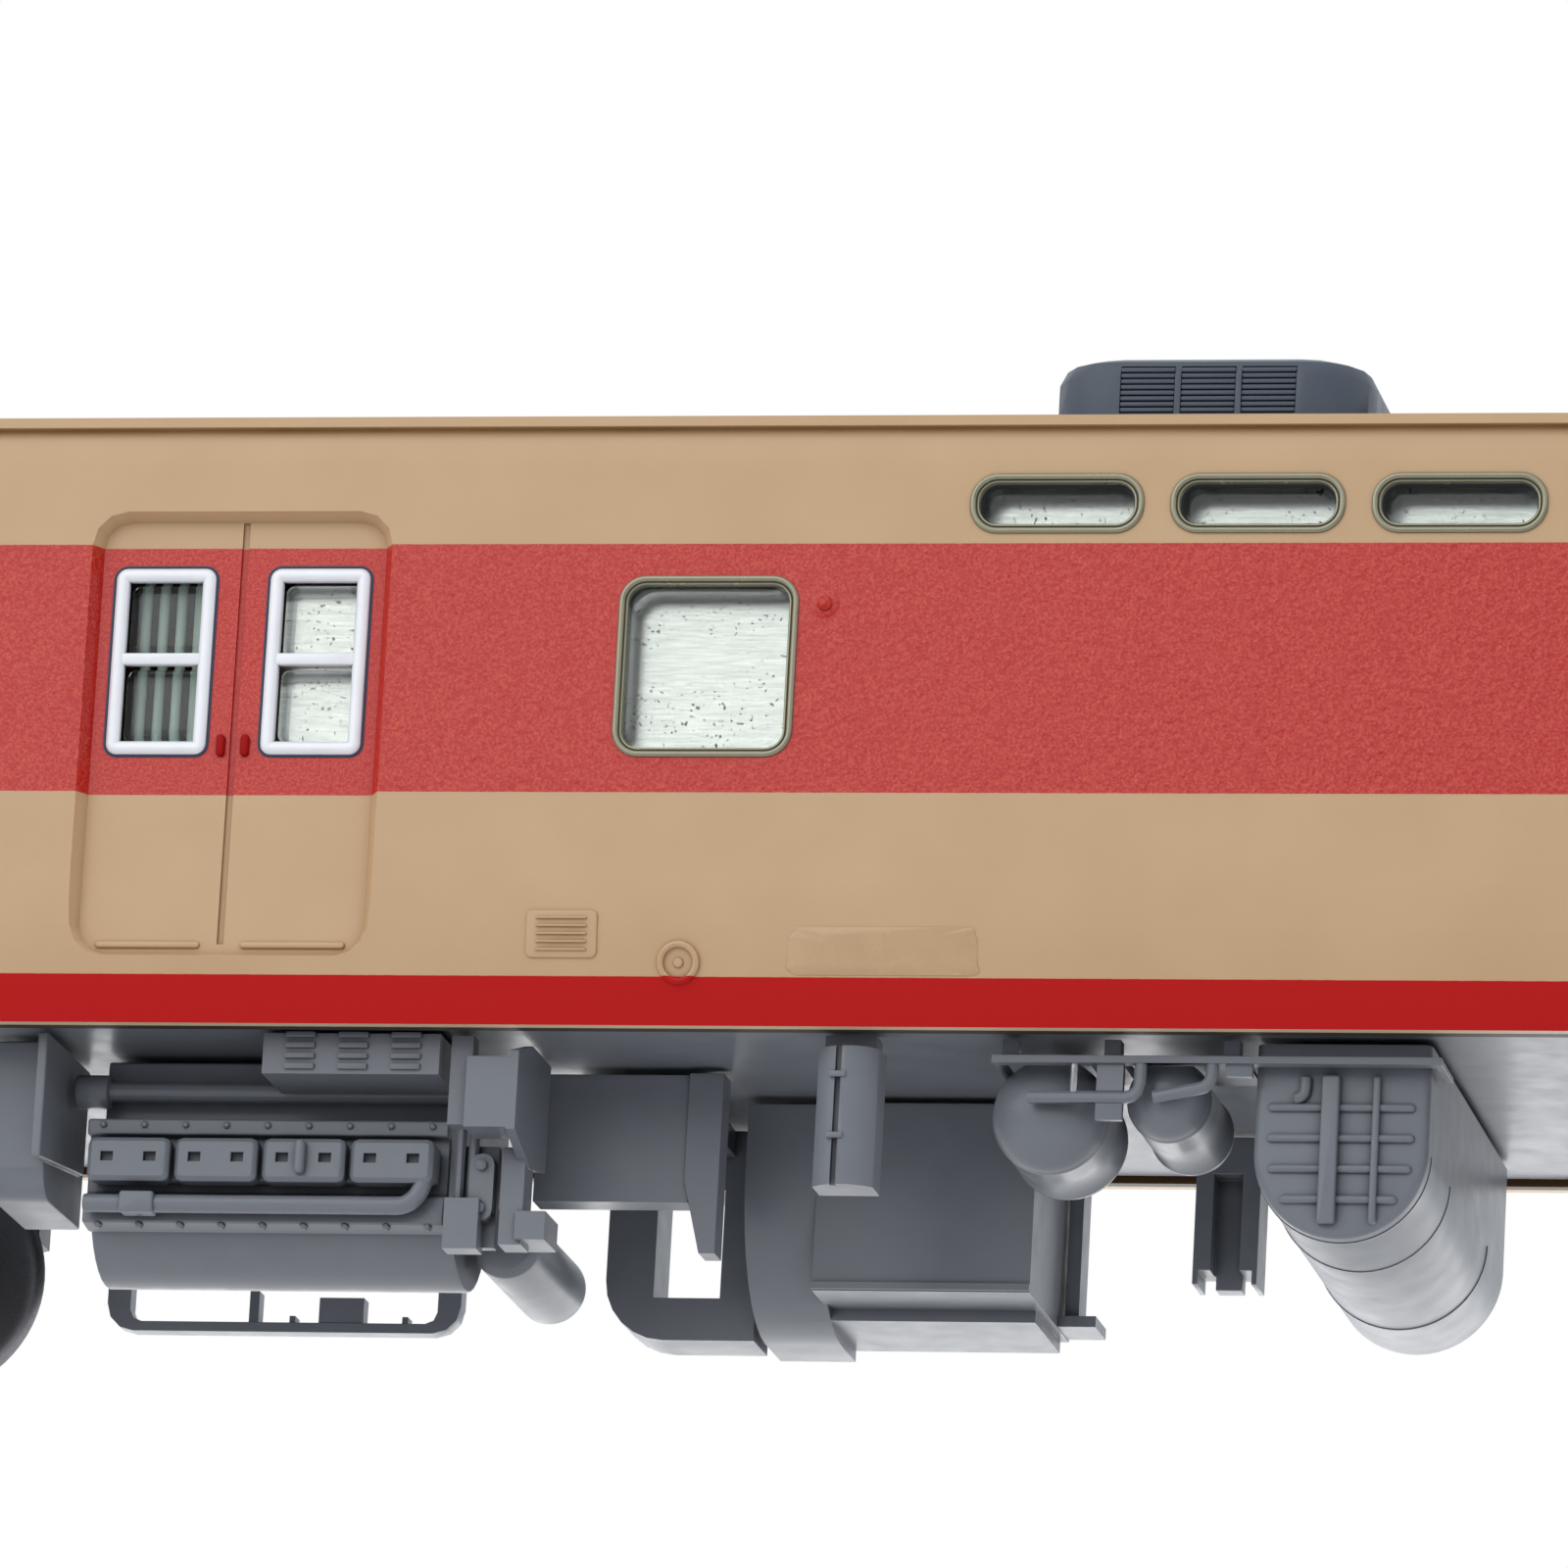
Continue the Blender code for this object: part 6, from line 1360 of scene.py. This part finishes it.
@dataclass
class Vessels:
    """Finely turned vessels in place of the faceted ones, and a bright pin in the pipe bracket."""

    drums: tuple[Drum, ...] = (
        Drum("air_reservoir_large", Axis.Y, 2.8, 1.8, 0.2, 0.05),
        Drum("air_reservoir_small", Axis.Y, 2.0, 1.8, 0.2, 0.05),
        Drum("silencer", Axis.Y, 1.75, 0.4, 0.75),
        Drum("brake_cylinder", Axis.X, 2.6, 1.2, 0.3, 0.05),
    )
    seam_places: Triple = (0.08, 0.3, 0.38)
    dome_steps: int = 12
    sides: int = 64
    pin: Points = ((-1.5, 0.16), (-1.42, 0.22), (0.1, 0.22))
    pin_place: Triple = (4.0, 0.35, -1.2)
    pin_sides: int = 16

    def build(self, palette: Palette) -> None:
        """Adds the vessels and the pin.

        Args:
            palette: The finishes.
        """
        for drum in self.drums:
            self.turn(palette, drum)
        low, high = node_box("reservoir_bracket")
        place = np.array([low[0], low[1], high[2]]) + self.pin_place
        pin = lathe("bracket_pin", np.array(self.pin), place, Axis.Z, self.pin_sides)
        palette.dress(pin, Finish.AXLE)

    def turn(self, palette: Palette, drum: Drum) -> None:
        """One vessel: an elliptic dome cut flat at its tip, a weld ring, and the same at the far end.

        Args:
            palette: The finishes.
            drum: The vessel.
        """
        low, high = node_box(drum.node)
        lie = drum.axis.value
        start = (low + high) / 2
        start[lie] = low[lie]
        length = high[lie] - low[lie]
        angle = np.linspace(math.asin(drum.flat), QUARTER, self.dome_steps)
        near = np.column_stack([drum.depth * (1.0 - np.cos(angle) / math.cos(angle[0])),
                                drum.radius * np.sin(angle)])
        if drum.seam:
            start_seam, end_seam, barrel = (drum.depth + place for place in self.seam_places)
            raised = drum.radius + drum.seam
            near = np.concatenate([near, [[start_seam, raised], [end_seam, raised], [barrel, drum.radius]]])
        far = np.column_stack([length - near[::-1, 0], near[::-1, 1]])
        made = lathe(f"turned_{drum.node}", np.concatenate([near, far]), start, drum.axis, self.sides)
        palette.underfloor(made)
        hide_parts(drum.node)


@dataclass
class FuelTank:
    """A smooth fuel tank with beads, a strap, a rib, a filler and seam bands.

    Shares are of its radius; the beads' width and the uprights' height come from its shape.
    """

    top: float
    low: np.ndarray = field(init=False)
    high: np.ndarray = field(init=False)
    edge: float = 0.45
    edge_steps: int = 6
    steps: int = 65
    bead: Block = Block((0.0, 0.42, 0.2), -0.2, 0.24, 0.18, 5)
    beads: int = 4
    bead_first: float = 3.1
    bead_pitch: float = 1.49
    bead_gap: float = 0.65
    strap: Block = Block((0.85, 0.0, 0.12), -0.2, 0.55, 0.12)
    strap_offset: float = -0.51
    rib: Block = Block((0.35, 0.0, 0.12), -0.2, 0.4, 0.12)
    rib_share: float = 0.4
    foot_share: float = 0.15
    head_drop: float = 1.58
    filler: tuple[Triple, ...] = ((0.0, 0.0, 0.0), (0.0, 0.0, -0.9), (-0.5, 0.0, -1.0))
    filler_bend: float = 0.4
    filler_radius: float = 0.3
    filler_share: float = -0.42
    filler_sink: float = 0.1
    seam: Points = ((-0.1, -0.1), (-0.08, 0.05), (0.08, 0.05), (0.1, -0.1))
    seam_places: Triple = (1.2, 7.4, 20.2)

    def __post_init__(self) -> None:
        """Takes the tank's place from the frame."""
        self.low, self.high = node_box("fuel_tank")

    @property
    def middle(self) -> float:
        """The tank's middle along the coach."""
        return (self.low[0] + self.high[0]) / 2

    @property
    def radius(self) -> float:
        """Radius of its round bottom: half its width."""
        return (self.high[0] - self.low[0]) / 2

    @property
    def face(self) -> float:
        """Y of its near face, behind the strap."""
        return self.low[1] + self.strap.top

    @property
    def axis_z(self) -> float:
        """Height of its round bottom's axis."""
        return self.low[2] + self.radius

    def build(self, palette: Palette) -> None:
        """Adds the tank and what is on it.

        Args:
            palette: The finishes.
        """
        self.barrel(palette)
        self.front(palette)
        for i, place in enumerate(self.seam_places):
            rows = [self.bow(self.radius + height, self.face + place + along) for along, height in self.seam]
            palette.underfloor(solid(f"tank_seam_{i}", np.stack(rows, axis=1)))

    def bow(self, radius: float, y: float) -> np.ndarray:
        """The lower half circle of a radius about the tank's axis, at a y."""
        curve = arc((self.middle, self.axis_z), (radius, radius), math.pi, TURN, self.steps)
        return np.column_stack([curve[:, 0], np.full(self.steps, y), curve[:, 1]])

    def barrel(self, palette: Palette) -> None:
        """A trough-shaped tank: half circles with upright sides, shrunk at both ends by a quarter circle.

        Args:
            palette: The finishes.
        """
        turn = np.linspace(0.0, QUARTER, self.edge_steps)
        rows = [(self.edge * (1.0 - math.sin(a)), self.face + self.edge * (1.0 - math.cos(a))) for a in turn]
        rows += [(inset, self.high[1] + self.face - y) for inset, y in reversed(rows)]
        grid = []
        for inset, y in rows:
            radius = self.radius - inset
            ends = [[self.middle + sign * radius, y, self.high[2]] for sign in (-1.0, 1.0)]
            grid.append(np.concatenate([ends[:1], self.bow(radius, y), ends[1:]]))
        made = solid("tank_barrel", np.stack(grid))
        palette.underfloor(made)
        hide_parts("fuel_tank")

    def front(self, palette: Palette) -> None:
        """Beads as wide as the tank is at their height, the strap, the rib and the bent filler.

        Args:
            palette: The finishes.
        """
        wall = Plane(-1.0, -self.face)
        for i in range(self.beads):
            z = self.top - self.bead_first - i * self.bead_pitch
            half = math.sqrt(self.radius ** 2 - max(0.0, self.axis_z - z) ** 2) - self.bead_gap
            bead = replace(self.bead, size=(2 * half, *self.bead.size[1:]))
            palette.underfloor(pad(f"tank_bead_{i}", wall, (self.middle, z), bead))
        foot = self.low[2] + self.radius * self.foot_share
        head = self.top - self.head_drop
        for name, block, offset in (("strap", self.strap, self.strap_offset),
                                    ("rib", self.rib, self.radius * self.rib_share)):
            width, _, corner = block.size
            upright = replace(block, size=(width, head - foot, corner))
            palette.underfloor(pad(f"tank_{name}", wall, (self.middle + offset, (foot + head) / 2), upright))
        place = [self.middle + self.radius * self.filler_share, self.face - self.filler_sink,
                 head - self.filler_sink]
        path = bent(np.array(self.filler), self.filler_bend) + place
        palette.underfloor(solid("tank_filler", tube_grid(path, self.filler_radius)))


@dataclass
class BodyEnds:
    """Lamp rims on both ends, and the seals that close the joint between the roof and each end.

    A lamp is its radius, its distance from the middle and its height, in mm.
    """

    headlight: Triple = (1.5, 11.8, 39.82)
    tail_lamp: Triple = (0.95, 13.2, 21.92)
    rim_half: float = 0.15
    rim_lift: float = 0.25
    rim_foot: float = -0.4
    rim_sides: int = 40
    roof_rise: float = 3.62
    seal_inner: float = 1.0
    seal_reach: Pair = (1.0, 2.45)
    seal_corner: Pair = (13.0, 14.5)
    seal_drop: float = 0.12
    seal_depth: float = 0.4
    seal_steps: int = 33

    def build(self, palette: Palette) -> None:
        """Adds the rims and seals of both ends.

        Args:
            palette: The finishes.
        """
        for end in End:
            for side in Side:
                self.lamp(palette, end, side, "head", self.headlight)
                self.lamp(palette, end, side, "tail", self.tail_lamp)
            self.seal(palette, end)

    def lamp(self, palette: Palette, end: End, side: Side, name: str, lamp: Triple) -> None:
        """A turned rim with a round bead, about the tip of a light guide.

        Args:
            palette: The finishes.
            end: The end of the coach.
            side: The side of the coach.
            name: Which lamp it is.
            lamp: Its radius, distance from the middle and height in mm.
        """
        low, high = node_box(f"light_guide_{end.tag}")
        tip = (high if end is End.FRONT else low)[0]
        radius, offset, up = lamp
        bead = arc((self.rim_lift, radius), (self.rim_half, self.rim_half), QUARTER, -QUARTER)
        foot = [[self.rim_foot, radius - self.rim_half], [self.rim_foot, radius + self.rim_half]]
        made = lathe(f"{name}_rim_{end.tag}_{side.tag}", np.concatenate([bead, foot]),
                     (tip, side.value * offset, up), Axis.X, self.rim_sides, True, end.value)
        palette.dress(made, Finish.SILVER)

    def seal(self, palette: Palette, end: End) -> None:
        """One strip below the roof's circular curve that closes the joint at an end, wider at corners.

        Args:
            palette: The finishes.
            end: The end of the coach.
        """
        _, high = node_box("roof")
        half = high[1]
        bow = (half ** 2 + self.roof_rise ** 2) / (2.0 * self.roof_rise)
        across = np.linspace(-half, half, self.seal_steps)
        top = high[2] - bow + np.sqrt(bow ** 2 - across ** 2) - self.seal_drop
        inner = np.full(self.seal_steps, high[0] - self.seal_inner)
        outer = high[0] + np.interp(np.abs(across), self.seal_corner, self.seal_reach)
        corners = ((inner, 0.0), (outer, 0.0), (outer, self.seal_depth), (inner, self.seal_depth))
        rows = [np.column_stack([end.value * x, across, top - down]) for x, down in corners]
        grid = np.stack(rows, axis=1)
        palette.dress(solid(f"roof_seal_{end.tag}", grid), Finish.ROOF)


@dataclass
class RoofUnits:
    """Louvre slats in the panels of both roof coolers."""

    slat: Block = Block((2.7, 0.23, 0.05), -0.1, 0.3, 0.05, 1)
    panel_recess: float = 0.35
    panel_pitch: float = 3.0
    slats: int = 8
    slat_drop: float = 2.85
    slat_pitch: float = 0.29

    def build(self, palette: Palette) -> None:
        """Adds three panels of slats to each side of each unit.

        Args:
            palette: The finishes.
        """
        for end in End:
            name = f"cooling_unit_{end.tag}"
            low, high = node_box(name)
            middle = (low[0] + high[0]) / 2
            for side in Side:
                wall = Plane(side.value, high[1] - self.panel_recess)
                for column in (-1, 0, 1):
                    for row in range(self.slats):
                        place = (middle + column * self.panel_pitch,
                                 high[2] - self.slat_drop + row * self.slat_pitch)
                        made = pad(f"slat_{name}_{side.tag}_{column}_{row}", wall, place, self.slat)
                        palette.dress(made, Finish.UNIT)


# Stage

@dataclass(frozen=True)
class Stage:
    """Pale floor, soft light and the camera at the photo's angle.  Lengths in mm, angles in degrees."""

    yaw: float = 11.82
    pitch: float = 14.52
    roll: float = 3.13
    distance: float = 610.03
    target: Triple = (-32.14, -18.0, 25.02)
    lens: float = 292.5
    sensor: float = 36.0
    clip: Pair = (10.0, 20000.0)
    floor_half: float = 2500.0
    floor_drop: float = 0.02
    floor_colour: str = "#C9CBCE"
    floor_roughness: float = 0.6
    floor_glow: Pair = (0.8, 1.9)
    floor_behind: Pair = (-50.0, 30.0)
    key_place: Triple = (-250.0, -400.0, 250.0)
    key_aim: Triple = (-30.0, -18.0, 28.0)
    key_size: float = 520.0
    key_power: float = 0.72
    sky: str = "#F6FAFF"
    white: str = "#FFFFFF"
    sky_raised: Pair = (0.06, 0.2)
    sky_behind: Pair = (0.0, 0.3)
    sky_power: Pair = (0.1, 1.0)

    def build(self) -> None:
        """Sets the whole stage."""
        self.camera()
        self.floor()
        self.world()
        self.key_light()
        bpy.context.scene.view_settings.view_transform = "Standard"
        bpy.context.scene.view_settings.look = "None"

    def camera(self) -> None:
        """Places the camera: forward from yaw and pitch, then rolled about it."""
        yaw, pitch, roll = (math.radians(a) for a in (self.yaw, self.pitch, self.roll))
        flat = math.cos(pitch)
        forward = Vector((-math.sin(yaw) * flat, math.cos(yaw) * flat, math.sin(pitch)))
        right = Vector((math.cos(yaw), math.sin(yaw), 0.0))
        up = right.cross(forward)
        turned_right = math.cos(roll) * right + math.sin(roll) * up
        turned_up = math.cos(roll) * up - math.sin(roll) * right
        place = (Vector(self.target) - self.distance * forward) * MM
        data = bpy.data.cameras.new("camera")
        data.lens = self.lens
        data.sensor_width = self.sensor
        data.clip_start, data.clip_end = (c * MM for c in self.clip)
        camera = bpy.data.objects.new("camera", data)
        axes = Matrix((turned_right, turned_up, -forward)).transposed().to_4x4()
        camera.matrix_world = Matrix.Translation(place) @ axes
        bpy.context.scene.collection.objects.link(camera)
        bpy.context.scene.camera = camera

    def floor(self) -> None:
        """A pale floor under the wheels, open to the eye from below, that lights the far underside."""
        reach = np.array([-self.floor_half, self.floor_half])
        x, y = np.meshgrid(reach, reach)
        grid = np.stack([x, y, np.full((2, 2), -self.floor_drop)], axis=-1)
        floor = grid_object("floor", grid, wrap_columns=False)
        g = Graph.material("pale_floor")
        glow = g.between(g.path("Is Glossy Ray"), *self.floor_glow)
        y = g.add("SeparateXYZ", None, i0=g.coords()).outputs[1]
        behind = g.ramp(y, *(edge * MM for edge in self.floor_behind))
        unseen = g.math("SUBTRACT", behind, g.path("Is Camera Ray"))
        g.set(Base_Color=linear(self.floor_colour), Roughness=self.floor_roughness)
        g.set(Emission_Color=linear(self.white))
        g.set(Emission_Strength=g.math("MULTIPLY", glow, unseen, clamp=False))
        g.blend(g.add("NewGeometry").outputs["Backfacing"], g.add("BsdfTransparent"))
        floor.data.materials.append(g.owner)

    def key_light(self) -> None:
        """One soft area lamp aimed at the side."""
        data = bpy.data.lights.new("key", "AREA")
        data.shape = "DISK"
        data.size = self.key_size * MM
        data.energy = self.key_power
        lamp = bpy.data.objects.new("key", data)
        lamp.location = Vector(self.key_place) * MM
        towards = Vector(self.key_aim) - Vector(self.key_place)
        lamp.rotation_euler = towards.to_track_quat("-Z", "Y").to_euler()
        bpy.context.scene.collection.objects.link(lamp)

    def world(self) -> None:
        """A white surround to the eye; as a light it is dim low down in front."""
        world = bpy.data.worlds.new("surround")
        g = Graph(world)
        towards = g.add("SeparateXYZ", None, i0=g.add("TexCoord").outputs["Generated"])
        raised = g.ramp(towards.outputs[2], *self.sky_raised)
        behind = g.ramp(towards.outputs[1], *self.sky_behind)
        power = g.between(g.math("MAXIMUM", raised, behind), *self.sky_power)
        g.set(Color=linear(self.sky), Strength=power)
        g.blend(g.path("Is Camera Ray"), g.add("Background", None, Color=linear(self.white)))
        bpy.context.scene.world = world


def main() -> None:
    """Dresses the frame, adds the trim and sets the stage."""
    logging.basicConfig(level=logging.INFO)
    palette = Palette()
    palette.dress_frame()
    shell_low, shell_high = node_box("body_shell")
    for trim in (Windows, Doors, Fittings):
        trim(sill=shell_low[2], half_length=shell_high[0]).build(palette)
    for group in (RunningGear(), Engine(), Vessels(), FuelTank(top=shell_low[2]), BodyEnds(), RoofUnits()):
        group.build(palette)
    Stage().build()


if __name__ == "__main__":
    main()
